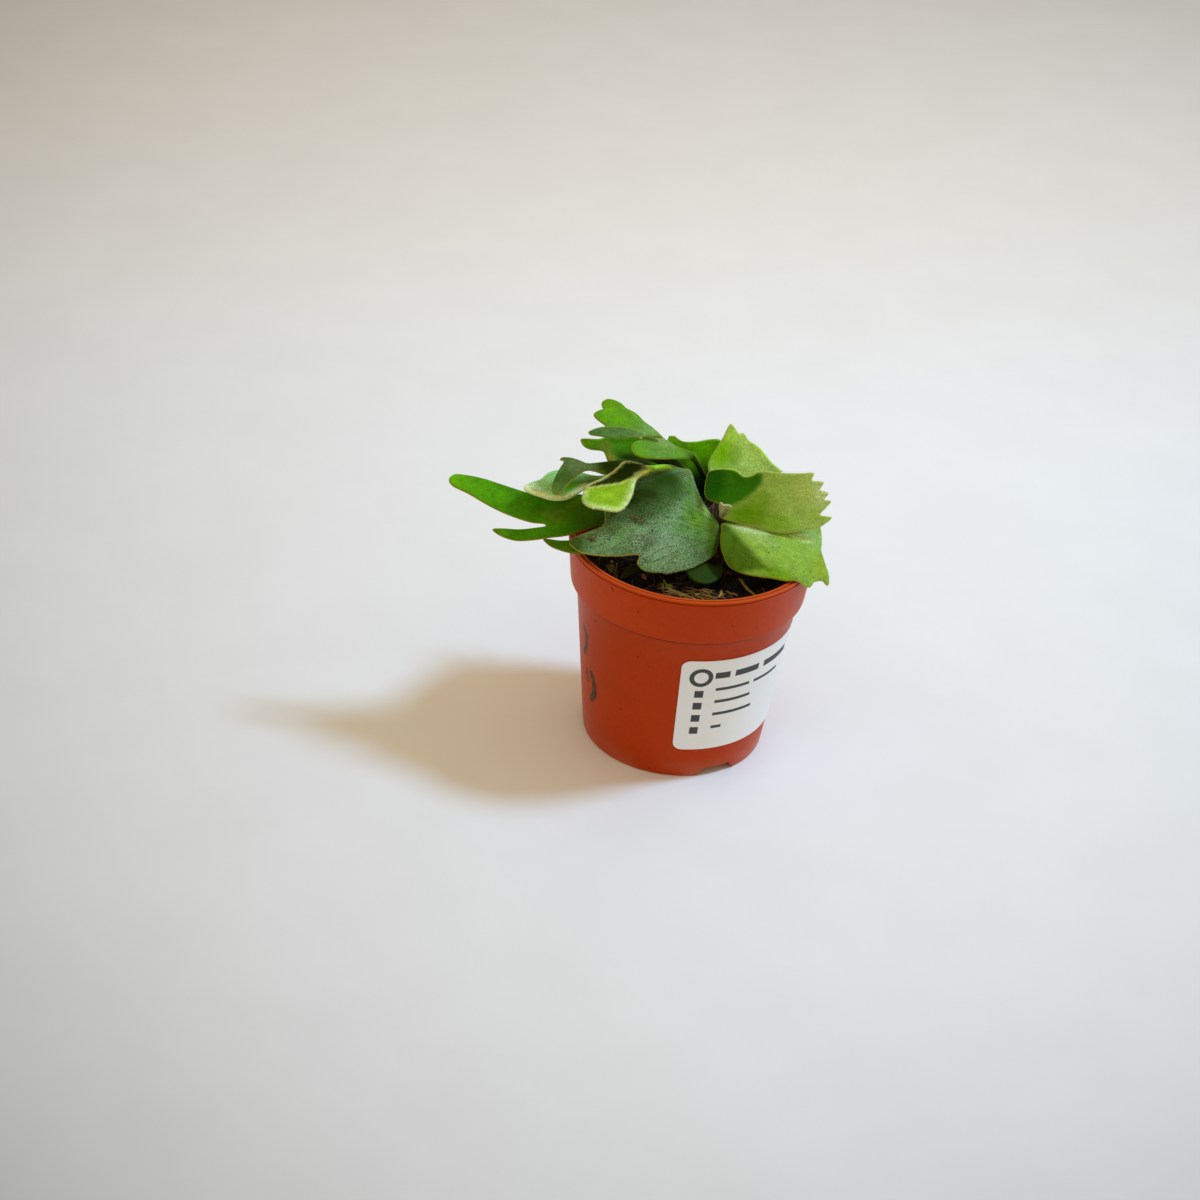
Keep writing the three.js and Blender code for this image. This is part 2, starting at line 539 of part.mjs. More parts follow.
      [30.5, -2.5], [32, -3], [34, -2.5], [36.5, -2], [39.5, -1.6], [42, -1.5], [43.8, -0.9], [45, 0.2],
      [46, 2.3], [45, 4.6], [42.5, 6.3], [40, 8], [38.5, 8.1], [37, 7.2], [35.5, 5.8], [32.5, 3],
      [29.5, 2.3], [27.5, 2.1], [24.5, 1.8], [21, 1.2], [17, 1.3], [12, 1.4], [8, 1.1], [3, 0.9],
      [0, 0.9],
    ],
  },
  antler_left_long: {
    colour: "#4f8a16",
    root: [200, 16],
    spine: [[-12, 0, 59.3], [-22, -2.2, 59.6], [-32, -3, 59.3], [-45, -2, 60.6], [-59.5, 0, 64.6]],
    face: [
      [-0.2, -0.4, 0.8], [-0.2, -0.4, 0.8], [0, -0.5, 0.86], [0, -0.5, 0.86], [0, -0.5, 0.86],
      [0.05, -0.5, 0.86], [0.1, -0.5, 0.86],
    ],
    curl: [[0, 0], [0, 0], [0, 0], [-0.01, -0.01], [-0.015, -0.015], [-0.01, -0.01], [0, 0]],
    outline: [
      [0, -0.9], [3, -0.9], [9, -1.3], [14.4, -2.2], [20.4, -3.8], [26.4, -4.8], [32.4, -4.8],
      [38.4, -4.3], [45.4, -4.4], [50.4, -4.3], [54.4, -3.9], [58.4, -2.9], [61.1, -1.8], [61.9, 0],
      [60.4, 1.4], [55.9, 1.7], [50.4, 2.5], [45.4, 3.1], [40.4, 3.5], [37.4, 3.2], [36.8, 3.7],
      [38.9, 4.6], [42.4, 6], [45.9, 6.9], [48, 8], [45.9, 9], [42.4, 9.1], [38.9, 8], [35.4, 6.6],
      [31.9, 5.5], [28.9, 4.2], [24.4, 2.7], [18.4, 2.4], [9, 1.3], [3, 0.9], [0, 0.9],
    ],
  },
  frond_left_low: {
    colour: "#43651c",
    root: [238, 13],
    spine: [[-7, -5.5, 56], [-16, -10, 57], [-25, -12.7, 56.7], [-31, -12.6, 56], [-36, -11.7, 56.4]],
    face: [
      [0, -0.3, 0.9], [0, -0.3, 0.9], [0, -0.3, 0.95], [0, -0.35, 0.95], [0, -0.35, 0.95], [0, -0.35, 0.95],
      [0, -0.35, 0.95],
    ],
    curl: [[0, 0], [0, 0], [0, 0], [0, 0], [0, 0], [0, 0], [0, 0]],
    outline: [
      [0, -0.9], [3, -0.9], [9, -1], [18.9, -1.9], [25.9, -2.6], [31.9, -2.6], [35.9, -2.1], [38.9, -1.7],
      [40.9, -1.3], [41.9, -0.8], [39.9, 0.4], [37.4, 1], [34.9, 1.6], [31.9, 2], [25.9, 1.8],
      [18.9, 1.7], [9, 1], [3, 0.9], [0, 0.9],
    ],
  },
  frond_front_young: {
    colour: "#33502a",
    inSoil: true,
    spine: [[6, -6, 47.6], [6, -7.8, 50.8], [4.6, -11.4, 53.4], [0.8, -16, 53.4]],
    face: [[-0.3, -0.6, 0.6], [-0.3, -0.6, 0.6], [-0.1, -0.45, 0.9], [-0.1, -0.2, 0.95]],
    curl: [[0, 0], [0, 0], [-0.02, -0.02], [-0.02, -0.02]],
    outline: [
      [0, -0.9], [3, -0.9], [5, -2], [8, -3.4], [11, -3.7], [13.5, -3.2], [15.3, -2], [16, 0], [15.4, 1.8],
      [13.5, 2.9], [11, 3.2], [8, 2.8], [5, 1.6], [3, 0.9], [0, 0.9],
    ],
  },
};

// A frond's own solid: its blade, the side lobes grown into it and, on a shield, the stipe under it
function makeFrond(frond) {
  const half = leaf.thickness / 2;
  const stalked = frond.root !== undefined && frond.foot === undefined;
  const rootPoints = stalked ? rootOn(frond.root).map((point) => point.toArray()) : [];
  const blade = { ...frond, spine: [...rootPoints, ...frond.spine] };
  const extra = stalked || frond.inSoil ? leaf.extraAtRoot / 2 : 0;
  const geometry = makeSheet(blade, (s) => half + extra * Math.exp(-s / 6));
  if (!frond.foot && !frond.lobes) return geometry;
  let solid = toSolid(geometry);
  for (const lobe of frond.lobes ?? []) solid = solid.add(toSolid(makeSheet(lobe, () => half)));
  if (frond.foot) {
    const [inner, outer] = rootOn(frond.root);
    const surface = bentSurface(blade);
    const under = surface(...frond.foot, -2);
    const join = surface(...frond.foot, -0.2);
    solid = solid.add(makeStipe([inner, outer, under, join]));
  }
  return toGeometry(solid);
}

// Soil: potting mix that fills the pot, with an uneven top, the crown's bed and a young frond's hole
function makeSoil(bed, holes) {
  const bottom = pot.footRingHeight + pot.floorThickness + soil.clearance;
  const wallAt = (height) => potInnerRadius(height) - soil.clearance;
  const rim = wallAt(soil.height);
  const rings = [0.86, 0.72, 0.58, 0.44, 0.3, 0.15, 0];
  const profile = [
    [0, bottom],
    [wallAt(bottom) - 1.6, bottom],
    [wallAt(bottom + 1.6), bottom + 1.6],
    [wallAt(pot.bandBottom), pot.bandBottom],
    [rim, soil.height - 0.6],
    ...rings.map((share) => [rim * share, soil.height]),
  ];
  const body = turned(profile, 48);
  const corners = body.attributes.position;
  for (let index = 0; index < corners.count; index += 1) {
    if (corners.getZ(index) < soil.height - 0.1) continue;
    const [x, y] = [corners.getX(index), corners.getY(index)];
    const lumps = Math.sin(0.55 * x + 1.3) * Math.cos(0.48 * y) + 0.7 * Math.sin(0.9 * y - 0.6 * x);
    corners.setZ(index, corners.getZ(index) + soil.lumpHeight * lumps);
  }
  return toGeometry(holes.reduce((solid, hole) => solid.subtract(hole), toSolid(body).subtract(bed)));
}

function makeCrown(holes) {
  return toGeometry(holes.reduce((solid, hole) => solid.subtract(hole), makeMound(0)));
}

// The whole plant in its pot
const plant = new THREE.Group();

function place(name, geometry, colour, roughness) {
  const material = new THREE.MeshStandardMaterial({ color: colour, roughness, metalness: 0 });
  const mesh = new THREE.Mesh(geometry, material);
  mesh.name = name;
  plant.add(mesh);
}

const rooted = Object.values(fronds).filter(({ root }) => root);
const planted = Object.values(fronds).filter(({ inSoil }) => inSoil);
const crownHoles = rooted.map(({ root }) => makeHole(...rootOn(root)));
const soilHoles = planted.map(({ spine }) => makeHole(vector(spine[0]), vector(spine[1])));

place("pot", makePot(), "#a5431d", 0.55);
place("plant_label", makeLabel(), "#eceff2", 0.45);
place("potting_soil", makeSoil(makeMound(soil.clearance), soilHoles), "#1d1611", 1);
place("crown", makeCrown(crownHoles), "#4a3320", 0.9);
for (const [name, frond] of Object.entries(fronds)) place(name, makeFrond(frond), frond.colour, 0.6);

export default plant;
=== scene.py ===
import json
import math
import random

import bmesh
import bpy
import numpy as np
from mathutils import Matrix, Vector, noise

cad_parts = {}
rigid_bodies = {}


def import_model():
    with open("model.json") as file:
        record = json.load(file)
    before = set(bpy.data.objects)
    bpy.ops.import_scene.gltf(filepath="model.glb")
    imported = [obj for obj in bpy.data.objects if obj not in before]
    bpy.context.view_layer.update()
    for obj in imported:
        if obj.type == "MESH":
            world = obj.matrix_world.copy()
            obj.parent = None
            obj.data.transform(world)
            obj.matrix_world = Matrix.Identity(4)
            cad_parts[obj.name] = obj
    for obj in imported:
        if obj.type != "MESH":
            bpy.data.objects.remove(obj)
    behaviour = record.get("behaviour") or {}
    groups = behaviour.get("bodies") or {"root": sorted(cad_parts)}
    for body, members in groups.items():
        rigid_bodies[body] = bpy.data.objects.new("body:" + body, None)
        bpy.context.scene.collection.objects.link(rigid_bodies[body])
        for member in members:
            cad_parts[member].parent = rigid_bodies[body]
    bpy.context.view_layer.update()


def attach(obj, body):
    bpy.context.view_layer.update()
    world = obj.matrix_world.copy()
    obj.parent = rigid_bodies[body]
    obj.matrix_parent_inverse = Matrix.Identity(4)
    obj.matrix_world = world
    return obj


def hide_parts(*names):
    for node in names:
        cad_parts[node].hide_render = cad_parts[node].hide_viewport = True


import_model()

# Pot. A small nursery pot, moulded in thin terracotta-coloured plastic, with a band under its lip,
# a recessed floor and drain slots through the foot ring that it stands on. Lengths are in
# millimetres here and in every section, and a finished mesh is scaled to metres.
pot_height = 54.6
lip_radius = 30.0
lip_width = 1.8
band_bottom = 42.4
band_radius = 28.6
shoulder_radius = 27.15
foot_radius = 22.5
wall = 1.2
foot_ring_height = 2.3
foot_ring_width = 1.6
floor_thickness = 1.4
pad_radius = 4.5
slot_foot_width = 10.3
slot_top_width = 7.0
slot_reach = 2.5
slot_angles = (-60, 60, 180)


def wall_radius(height):
    return foot_radius + (shoulder_radius - foot_radius) / band_bottom * height


def finish_mesh(bm, name, material, slot, *nodes):
    """Makes the bmesh, in millimetres, a piece with its finish that stands for the CAD nodes."""
    bmesh.ops.scale(bm, vec=(0.001, 0.001, 0.001), verts=bm.verts)
    mesh = bpy.data.meshes.new(name)
    bm.to_mesh(mesh)
    bm.free()
    mesh.polygons.foreach_set("use_smooth", [True] * len(mesh.polygons))
    mesh.materials.append(material)
    piece = bpy.data.objects.new(name, mesh)
    bpy.context.scene.collection.objects.link(piece)
    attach(piece, "root")
    if nodes:
        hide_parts(*nodes)
    return piece


def sharpen(bm, degrees):
    """Marks the edges that turn by more than so many degrees as sharp."""
    for edge in bm.edges:
        if len(edge.link_faces) == 2 and edge.calc_face_angle() > math.radians(degrees):
            edge.smooth = False


def turned(profile, steps):
    """A profile of [radius, height] points turned round the vertical axis."""
    bm = bmesh.new()
    corners = [bm.verts.new((radius, 0, height)) for radius, height in profile]
    lines = [bm.edges.new(pair) for pair in zip(corners, corners[1:])]
    bmesh.ops.spin(
        bm, geom=corners + lines, axis=(0, 0, 1), cent=(0, 0, 0), angle=math.tau, steps=steps,
        use_merge=True,
    )
    bmesh.ops.remove_doubles(bm, verts=bm.verts, dist=1e-4)
    bmesh.ops.recalc_face_normals(bm, faces=bm.faces)
    return bm


def cut_away(bm, cutter):
    """The bmesh with the cutter's space taken out of it."""
    objects = []
    for name, source in (("uncut", bm), ("cutter", cutter)):
        mesh = bpy.data.meshes.new(name)
        source.to_mesh(mesh)
        source.free()
        objects.append(bpy.data.objects.new(name, mesh))
        bpy.context.scene.collection.objects.link(objects[-1])
    cut = objects[0].modifiers.new("cut", "BOOLEAN")
    cut.operation = "DIFFERENCE"
    cut.solver = "EXACT"
    cut.object = objects[1]
    result = bmesh.new()
    result.from_object(objects[0], bpy.context.evaluated_depsgraph_get())
    for item in objects:
        mesh = item.data
        bpy.data.objects.remove(item)
        bpy.data.meshes.remove(mesh)
    return result


def linear(text):
    """A screen colour such as #a5431d as the linear colour that the sockets take."""
    shares = [int(text[place:place + 2], 16) / 255 for place in (1, 3, 5)]
    return [share / 12.92 if share < 0.04 else ((share + 0.055) / 1.055) ** 2.4 for share in shares] + [1.0]


class Finish:
    """A procedural material whose nodes are added one by one and end in one shader."""

    def __init__(self, name, sockets):
        self.material = bpy.data.materials.new(name)
        self.material.use_nodes = True
        self.tree = self.material.node_tree
        self.shader = self.tree.nodes["Principled BSDF"]
        for socket, value in sockets.items():
            self.shader.inputs[socket].default_value = value

    def add(self, kind, inputs=(), output=0, **settings):
        """Adds a node with sockets, numbers or screen colours as its inputs, and gives its output."""
        made = self.tree.nodes.new("ShaderNode" + kind)
        for key, value in settings.items():
            setattr(made, key, value)
        for key, value in dict(inputs).items():
            if isinstance(value, bpy.types.NodeSocket):
                self.tree.links.new(value, made.inputs[key])
            else:
                made.inputs[key].default_value = linear(value) if isinstance(value, str) else value
        return made.outputs[output]

    def place(self, kind="Object"):
        return self.add("TexCoord", output=kind)

    def parts(self, vector):
        return self.add("SeparateXYZ", {0: vector}).node.outputs[:]

    def number(self, name):
        """The number of that name that each of the piece's corners carries."""
        return self.add("Attribute", output=2, attribute_name=name)

    def math(self, operation, *values, clamp=False):
        return self.add("Math", dict(enumerate(values)), operation=operation, use_clamp=clamp)

    def times(self, first, second):
        return self.math("MULTIPLY", first, second)

    def plus(self, first, second):
        return self.math("ADD", first, second)

    def minus(self, first, second):
        return self.math("SUBTRACT", first, second)

    def apart(self, first, second):
        """How far two numbers differ."""
        return self.math("ABSOLUTE", self.minus(first, second))

    def largest(self, first, *others):
        for other in others:
            first = self.math("MAXIMUM", first, other)
        return first

    def distance(self, first, second):
        return self.add("VectorMath", {0: first, 1: second}, output=1, operation="DISTANCE")

    def scaled(self, vector, factor):
        return self.add("VectorMath", {0: vector, 3: factor}, operation="SCALE")

    def fade(self, value, start, end, low=0.0, high=1.0):
        """From low at the value start to high at the value end, smoothly."""
        inputs = {0: value, 1: start, 2: end, 3: low, 4: high}
        return self.add("MapRange", inputs, interpolation_type="SMOOTHSTEP")

    def mix(self, share, first, second, blend="MIX"):
        inputs = {0: share, 6: first, 7: second}
        return self.add("Mix", inputs, output=2, data_type="RGBA", blend_type=blend)

    def noise(self, place, scale, detail=3.0, roughness=0.55, distortion=0.0):
        inputs = {
            "Vector": place, "Scale": scale, "Detail": detail, "Roughness": roughness,
            "Distortion": distortion,
        }
        return self.add("TexNoise", inputs)

    def stroke(self, place, start, end, width, softness):
        """One along a straight stroke from start to end, fading to none at its edges."""
        start, end = Vector(start).to_3d(), Vector(end).to_3d()
        along = end - start
        offset = self.add("VectorMath", {0: place, 1: start}, operation="SUBTRACT")
        dot = self.add("VectorMath", {0: offset, 1: along}, output=1, operation="DOT_PRODUCT")
        share = self.math("DIVIDE", dot, along.length_squared, clamp=True)
        gap = self.distance(offset, self.scaled(along, share))
        return self.fade(gap, width / 2, width / 2 - softness)

    def end(self, colour, roughness, height=None, depth=0.0001, strength=1.0):
        """Joins the colour, the roughness and the relief to the shader."""
        self.tree.links.new(colour, self.shader.inputs["Base Color"])
        self.tree.links.new(roughness, self.shader.inputs["Roughness"])
        if height:
            inputs = {"Strength": strength, "Distance": depth, "Height": height}
            self.tree.links.new(self.add("Bump", inputs), self.shader.inputs["Normal"])
        return self.material


def make_pot():
    """The pot turned from its half section, with the drain slots cut through its foot ring."""
    floor_top = foot_ring_height + floor_thickness
    ring_inside = foot_radius - foot_ring_width
    band_slope = (lip_radius - 0.05 - band_radius - 0.12) / (pot_height - 0.6 - band_bottom - 0.9)
    profile = [
        (0, 0), (pad_radius - 0.2, 0), (pad_radius, 0.15), (pad_radius + 0.5, foot_ring_height),
        (ring_inside + 0.1, foot_ring_height), (ring_inside, 0.25), (ring_inside + 0.2, 0),
        (foot_radius - 0.45, 0), (foot_radius - 0.1, 0.15), (wall_radius(0.6), 0.6),
        (wall_radius(8), 8), (wall_radius(20), 20), (wall_radius(32), 32),
        (wall_radius(band_bottom - 0.3), band_bottom - 0.3), (shoulder_radius + 0.12, band_bottom),
        (band_radius - 0.25, band_bottom + 0.02), (band_radius, band_bottom + 0.25),
        (band_radius + 0.12, band_bottom + 0.9),
    ]
    under_bead = pot_height - 1.15
    radius = band_radius + 0.12 + band_slope * (under_bead - band_bottom - 0.9)
    profile += [
        (radius, under_bead), (radius - 0.16, under_bead + 0.12), (radius - 0.14, under_bead + 0.34),
        (lip_radius - 0.06, pot_height - 0.6), (lip_radius - 0.1, pot_height - 0.2),
        (lip_radius - 0.3, pot_height), (lip_radius - 0.5, pot_height),
        (lip_radius - 0.62, pot_height - 0.25), (lip_radius - 0.86, pot_height - 0.25),
        (lip_radius - 0.98, pot_height), (lip_radius - lip_width + 0.25, pot_height - 0.02),
        (lip_radius - lip_width, pot_height - 0.35), (lip_radius - lip_width - 0.1, pot_height - 1.2),
        (shoulder_radius - wall, band_bottom), (wall_radius(floor_top + 1) - wall, floor_top + 1),
        (wall_radius(floor_top) - wall - 1, floor_top), (0, floor_top),
    ]
    bm = turned(profile, 240)
    cutter = bmesh.new()
    below = 1.0
    spread = (slot_foot_width - slot_top_width) / 2 / foot_ring_height
    for angle in slot_angles:
        wedge = bmesh.ops.create_cube(cutter, size=1)["verts"]
        for corner in wedge:
            low = corner.co.z < 0
            half = slot_foot_width / 2 + spread * below if low else slot_top_width / 2
            corner.co.x = math.copysign(slot_reach, corner.co.x) + foot_radius - 0.7
            corner.co.y = math.copysign(half, corner.co.y)
            corner.co.z = -below if low else foot_ring_height - 0.001
        turn = Matrix.Rotation(math.radians(angle), 3, "Z")
        bmesh.ops.rotate(cutter, cent=(0, 0, 0), matrix=turn, verts=wedge)
    bm = cut_away(bm, cutter)
    bmesh.ops.remove_doubles(bm, verts=bm.verts, dist=1e-4)
    sharpen(bm, 34)
    return bm


# Each pen stroke is its start and end on the unrolled side of the pot, and its width, in metres.
unrolled_radius = 0.025
pen_marks = (
    ((-0.0684, 0.0336), (-0.0669, 0.0316), 0.0020), ((-0.0669, 0.0316), (-0.0671, 0.0284), 0.0023),
    ((-0.0671, 0.0284), (-0.0688, 0.0256), 0.0020), ((-0.0676, 0.0212), (-0.0667, 0.0184), 0.0017),
    ((-0.0646, 0.0216), (-0.0634, 0.0190), 0.0023), ((-0.0634, 0.0190), (-0.0635, 0.0163), 0.0026),
    ((-0.0635, 0.0163), (-0.0650, 0.0140), 0.0024),
)


def pot_plastic():
    """Semi-matte plastic with mottling, dust near the foot, scuffs, specks and faded pen marks.

    The heights and radii that bound the lip, the band and the creases are in metres. The lip has a
    painted highlight, the band's left side a painted glow, and the lip's grooves and the crease under
    the band painted shade.
    """
    finish = Finish("pot_plastic", {
        "Subsurface Weight": 0.1, "Subsurface Radius": (1.0, 0.2, 0.02), "Subsurface Scale": 0.0015,
        "Specular IOR Level": 0.25, "Specular Tint": (0.8, 0.5, 0.15, 1), "Sheen Weight": 0.12,
        "Sheen Roughness": 0.35, "Sheen Tint": (1.0, 0.6, 0.4, 1),
    })
    place = finish.place()
    x, y, z = finish.parts(place)
    arc = finish.times(finish.math("ARCTAN2", y, x), unrolled_radius)
    wrapped = finish.add("CombineXYZ", {0: arc, 1: z})
    broad = finish.noise(place, 55, 4, 0.6)
    fine = finish.noise(place, 900, 3, 0.6)
    colour = finish.mix(broad, "#b23304", "#bf3d07")
    colour = finish.mix(finish.fade(fine, 0.4, 0.75, 0, 0.25), colour, "#962a03")
    body = finish.fade(z, 0.042, 0.041)
    colour = finish.mix(body, colour, (0.91, 0.88, 0.6, 1), "MULTIPLY")
    # Painted light: the band's left side is made lighter and more orange, as light glows through it there.
    painted_left_glow = finish.times(finish.fade(x, -0.002, -0.022), finish.fade(body, 1, 0))
    colour = finish.mix(painted_left_glow, colour, (1.1, 1.2, 0.85, 1), "MULTIPLY")
    # Painted highlight: the top of the lip is lightened towards a bright orange.
    lip = finish.times(finish.fade(z, 0.0537, 0.0545), 0.36)
    colour = finish.mix(lip, colour, "#e0682c")
    # Painted shade: dark lines in the groove on the lip, under the bead below it and in the crease under the
    # band.
    radius = finish.math("SQRT", finish.plus(finish.times(x, x), finish.times(y, y)))
    groove = finish.fade(finish.apart(radius, 0.02926), 0.00028, 0.0001)
    groove = finish.times(groove, finish.fade(z, 0.0538, 0.0541))
    bead = finish.fade(finish.apart(z, 0.0537), 0.00022, 0.00008)
    bead = finish.times(bead, finish.fade(radius, 0.0291, 0.0293))
    crease = finish.times(finish.fade(z, 0.0409, 0.0414), finish.fade(z, 0.0424, 0.0422))
    painted_crease_shade = finish.largest(groove, bead, crease)
    colour = finish.mix(finish.times(painted_crease_shade, 0.5), colour, "#4a1602")
    dust = finish.times(finish.fade(z, 0.006, 0.0), finish.fade(broad, 0.35, 0.7, 0, 0.28))
    colour = finish.mix(dust, colour, "#c2a48c")
    scratch_place = finish.add("Mapping", {
        "Vector": wrapped, "Scale": (260, 3200, 1), "Rotation": (0, 0, 0.3),
    })
    scratch = finish.fade(finish.noise(scratch_place, 1, 2, 0.5), 0.72, 0.78, 0, 0.18)
    colour = finish.mix(scratch, colour, "#d98a62")
    specks = finish.add("TexVoronoi", {"Vector": place, "Scale": 210, "Randomness": 1.0})
    specks = finish.times(finish.fade(specks, 0.07, 0.05), 0.75)
    colour = finish.mix(specks, colour, "#2a150c")
    chip = finish.stroke(wrapped, (-0.0560, 0.0528), (-0.0556, 0.0519), 0.0009, 0.0005)
    colour = finish.mix(finish.times(chip, 0.8), colour, "#3a1a10")
    drawn = finish.add("VectorMath", {
        0: wrapped, 1: finish.scaled(finish.noise(place, 320, 2), 0.0007),
    })
    pen = finish.largest(*[finish.stroke(drawn, *mark, 0.0003) for mark in pen_marks])
    worn = finish.fade(finish.noise(place, 600, 3, 0.7), 0.3, 0.6, 0.7, 0.97)
    colour = finish.mix(finish.times(pen, worn), colour, "#26211f")
    roughness = finish.fade(broad, 0.2, 0.8, 0.38, 0.52)
    grain = finish.plus(finish.times(fine, 0.5), finish.noise(place, 3800, 2, 0.5))
    return finish.end(colour, roughness, grain, depth=0.00003, strength=0.55)


finish_mesh(make_pot(), "nursery_pot", pot_plastic(), "pot_plastic", "pot")

# Label. A white self-adhesive paper label with round corners, printed in grey and stuck round the
# pot's body. Its print is plain: a ring with heading bars, and four square marks beside rows of bars.
label_width = 40.0
label_height = 27.6
label_corner = 2.2
label_start = math.radians(-90.5)
label_middle = 22.6
label_lift = 0.06
label_thickness = 0.14


def make_label():
    """The label cut flat, with its place on the paper kept as its UV map, and bent round the pot."""
    bm = bmesh.new()
    bmesh.ops.create_grid(bm, x_segments=1, y_segments=1, size=0.5)
    bmesh.ops.scale(bm, vec=(label_width, label_height, 1), verts=bm.verts)
    bmesh.ops.translate(bm, vec=(label_width / 2, 0, 0), verts=bm.verts)
    bmesh.ops.bevel(
        bm, geom=bm.verts, offset=label_corner, offset_type="OFFSET", segments=8, profile=0.5,
        affect="VERTICES", material=-1,
    )
    cuts = [((label_width * step / 80, 0, 0), (1, 0, 0)) for step in range(1, 80)]
    cuts += [((0, label_height * (step / 12 - 0.5), 0), (0, 1, 0)) for step in range(1, 12)]
    for place, way in cuts:
        geometry = bm.verts[:] + bm.edges[:] + bm.faces[:]
        bmesh.ops.bisect_plane(bm, geom=geometry, plane_co=place, plane_no=way)
    uv = bm.loops.layers.uv.new("print")
    for face in bm.faces:
        for loop in face.loops:
            loop[uv].uv = (loop.vert.co.x / 100, loop.vert.co.y / 100 + 0.5)
    bmesh.ops.solidify(bm, geom=bm.faces, thickness=label_thickness)
    lean = (shoulder_radius - foot_radius) / band_bottom
    middle_radius = wall_radius(label_middle)
    lowest = min(corner.co.z for corner in bm.verts)
    for corner in bm.verts:
        angle = label_start + corner.co.x / middle_radius
        height = label_middle + corner.co.y / math.hypot(1, lean)
        radius = wall_radius(height) + label_lift + corner.co.z - lowest
        corner.co = (radius * math.cos(angle), radius * math.sin(angle), height)
    bmesh.ops.recalc_face_normals(bm, faces=bm.faces)
    sharpen(bm, 40)
    return bm


# The printed bars and squares: middle across and up from the label's left middle, width, height.
printed_bars = [
    (9.9, 9.2, 3.8, 2.0), (16.4, 9.2, 6.8, 2.0), (26.2, 9.2, 9.8, 2.0), (13.2, 4.9, 9.2, 1.05),
    (23.6, 4.9, 9.2, 1.05), (13.8, 1.1, 10.0, 1.05), (14.4, -2.8, 11.2, 1.05), (10.4, -6.9, 2.9, 1.05),
    (4.75, 3.7, 2.3, 2.3), (4.75, 0.0, 2.3, 2.3), (4.75, -3.85, 2.3, 2.3), (4.75, -7.7, 2.3, 2.3),
]
print_blur = 0.15


def label_paper():
    """White paper with faint fibres and its grey print, worn a little thin."""
    finish = Finish("label_paper", {"Specular IOR Level": 0.35})
    place = finish.add("Mapping", {
        "Vector": finish.place("UV"), "Location": (0, -50, 0), "Scale": (100, 100, 1),
    })
    x, y, _ = finish.parts(place)
    marks = []
    for middle_x, middle_y, width, height in printed_bars:
        across = finish.fade(finish.apart(x, middle_x), width / 2, width / 2 - print_blur)
        upright = finish.fade(finish.apart(y, middle_y), height / 2, height / 2 - print_blur)
        marks.append(finish.times(across, upright))
    gap = finish.distance(place, (4.8, 8.75, 0))
    ring = finish.times(finish.fade(gap, 2.85, 2.7), finish.fade(gap, 1.6, 1.75))
    ink = finish.largest(*marks, ring)
    toner = finish.fade(finish.noise(place, 6, 3, 0.7), 0.25, 0.5, 0.82, 0.97)
    fibre = finish.noise(place, 2.2, 5, 0.65)
    paper = finish.mix(fibre, "#e3e6e8", "#f2f3f3")
    colour = finish.mix(finish.times(ink, toner), paper, "#262b2c")
    roughness = finish.fade(ink, 0, 1, 0.42, 0.6)
    return finish.end(colour, roughness, finish.noise(place, 9, 4, 0.6), depth=0.00003, strength=0.4)


finish_mesh(make_label(), "paper_label", label_paper(), "label_paper", "plant_label")

# Potting mix. Dark crumbly peat that fills the pot to just below its lip, with coarse crumbs,
# husk chips, dry straw-coloured fibres and a few short twigs lying loose on its top.
soil_height = 49.3
soil_gap = 0.35
soil_lumps = 0.6
crumb_count = 900
chip_count = 26
fibre_reach = 26.4
random.seed(41)


def soil_level(x, y):
    """The height of the mix's top over the point x, y."""
    lumps = math.sin(0.55 * x + 1.3) * math.cos(0.48 * y) + 0.7 * math.sin(0.9 * y - 0.6 * x)
    small = noise.fractal(Vector((x * 0.42, y * 0.42, 3)), 0.8, 2.2, 4)
    return soil_height + soil_lumps * lumps + 0.55 * small


def tube(bm, points, radii, sides):
    """A closed tapering tube through the points, ring by ring."""
    points = [Vector(point) for point in points]
    ring = bmesh.ops.create_circle(bm, cap_ends=True, radius=radii[0], segments=sides)["verts"]
    heading = (points[1] - points[0]).normalized()
    turn = Vector((0, 0, 1)).rotation_difference(heading).to_matrix()
    bmesh.ops.rotate(bm, cent=(0, 0, 0), matrix=turn, verts=ring)
    bmesh.ops.translate(bm, vec=points[0], verts=ring)
    edges = list(dict.fromkeys(edge for corner in ring for edge in corner.link_edges))
    made = list(ring)
    for index in range(1, len(points)):
        following = points[min(index + 1, len(points) - 1)]
        coming = (following - points[index - 1]).normalized()
        grown = bmesh.ops.extrude_edge_only(bm, edges=edges)["geom"]
        ring = [item for item in grown if isinstance(item, bmesh.types.BMVert)]
        edges = [item for item in grown if isinstance(item, bmesh.types.BMEdge)]
        bmesh.ops.translate(bm, vec=points[index] - points[index - 1], verts=ring)
        turn = heading.rotation_difference(coming).to_matrix()
        bmesh.ops.rotate(bm, cent=points[index], matrix=turn, verts=ring)
        size = max(radii[index], 1e-3) / max(radii[index - 1], 1e-3)
        bmesh.ops.scale(
            bm, vec=(size, size, size), space=Matrix.Translation(-points[index]), verts=ring,
        )
        heading = coming
        made += ring
    bmesh.ops.edgeloop_fill(bm, edges=edges)
    return made


def stamp(piece, small, matrix, tone):
    """Adds a small finished shape to the piece at its place, with its tone from dark 0 to pale 1."""
    bmesh.ops.transform(small, matrix=matrix, verts=small.verts)
    layer = small.verts.layers.float.get("tone") or small.verts.layers.float.new("tone")
    for corner in small.verts:
        corner[layer] = tone
    copy = bpy.data.meshes.new("small")
    small.to_mesh(copy)
    small.free()
    piece.from_mesh(copy)
    bpy.data.meshes.remove(copy)


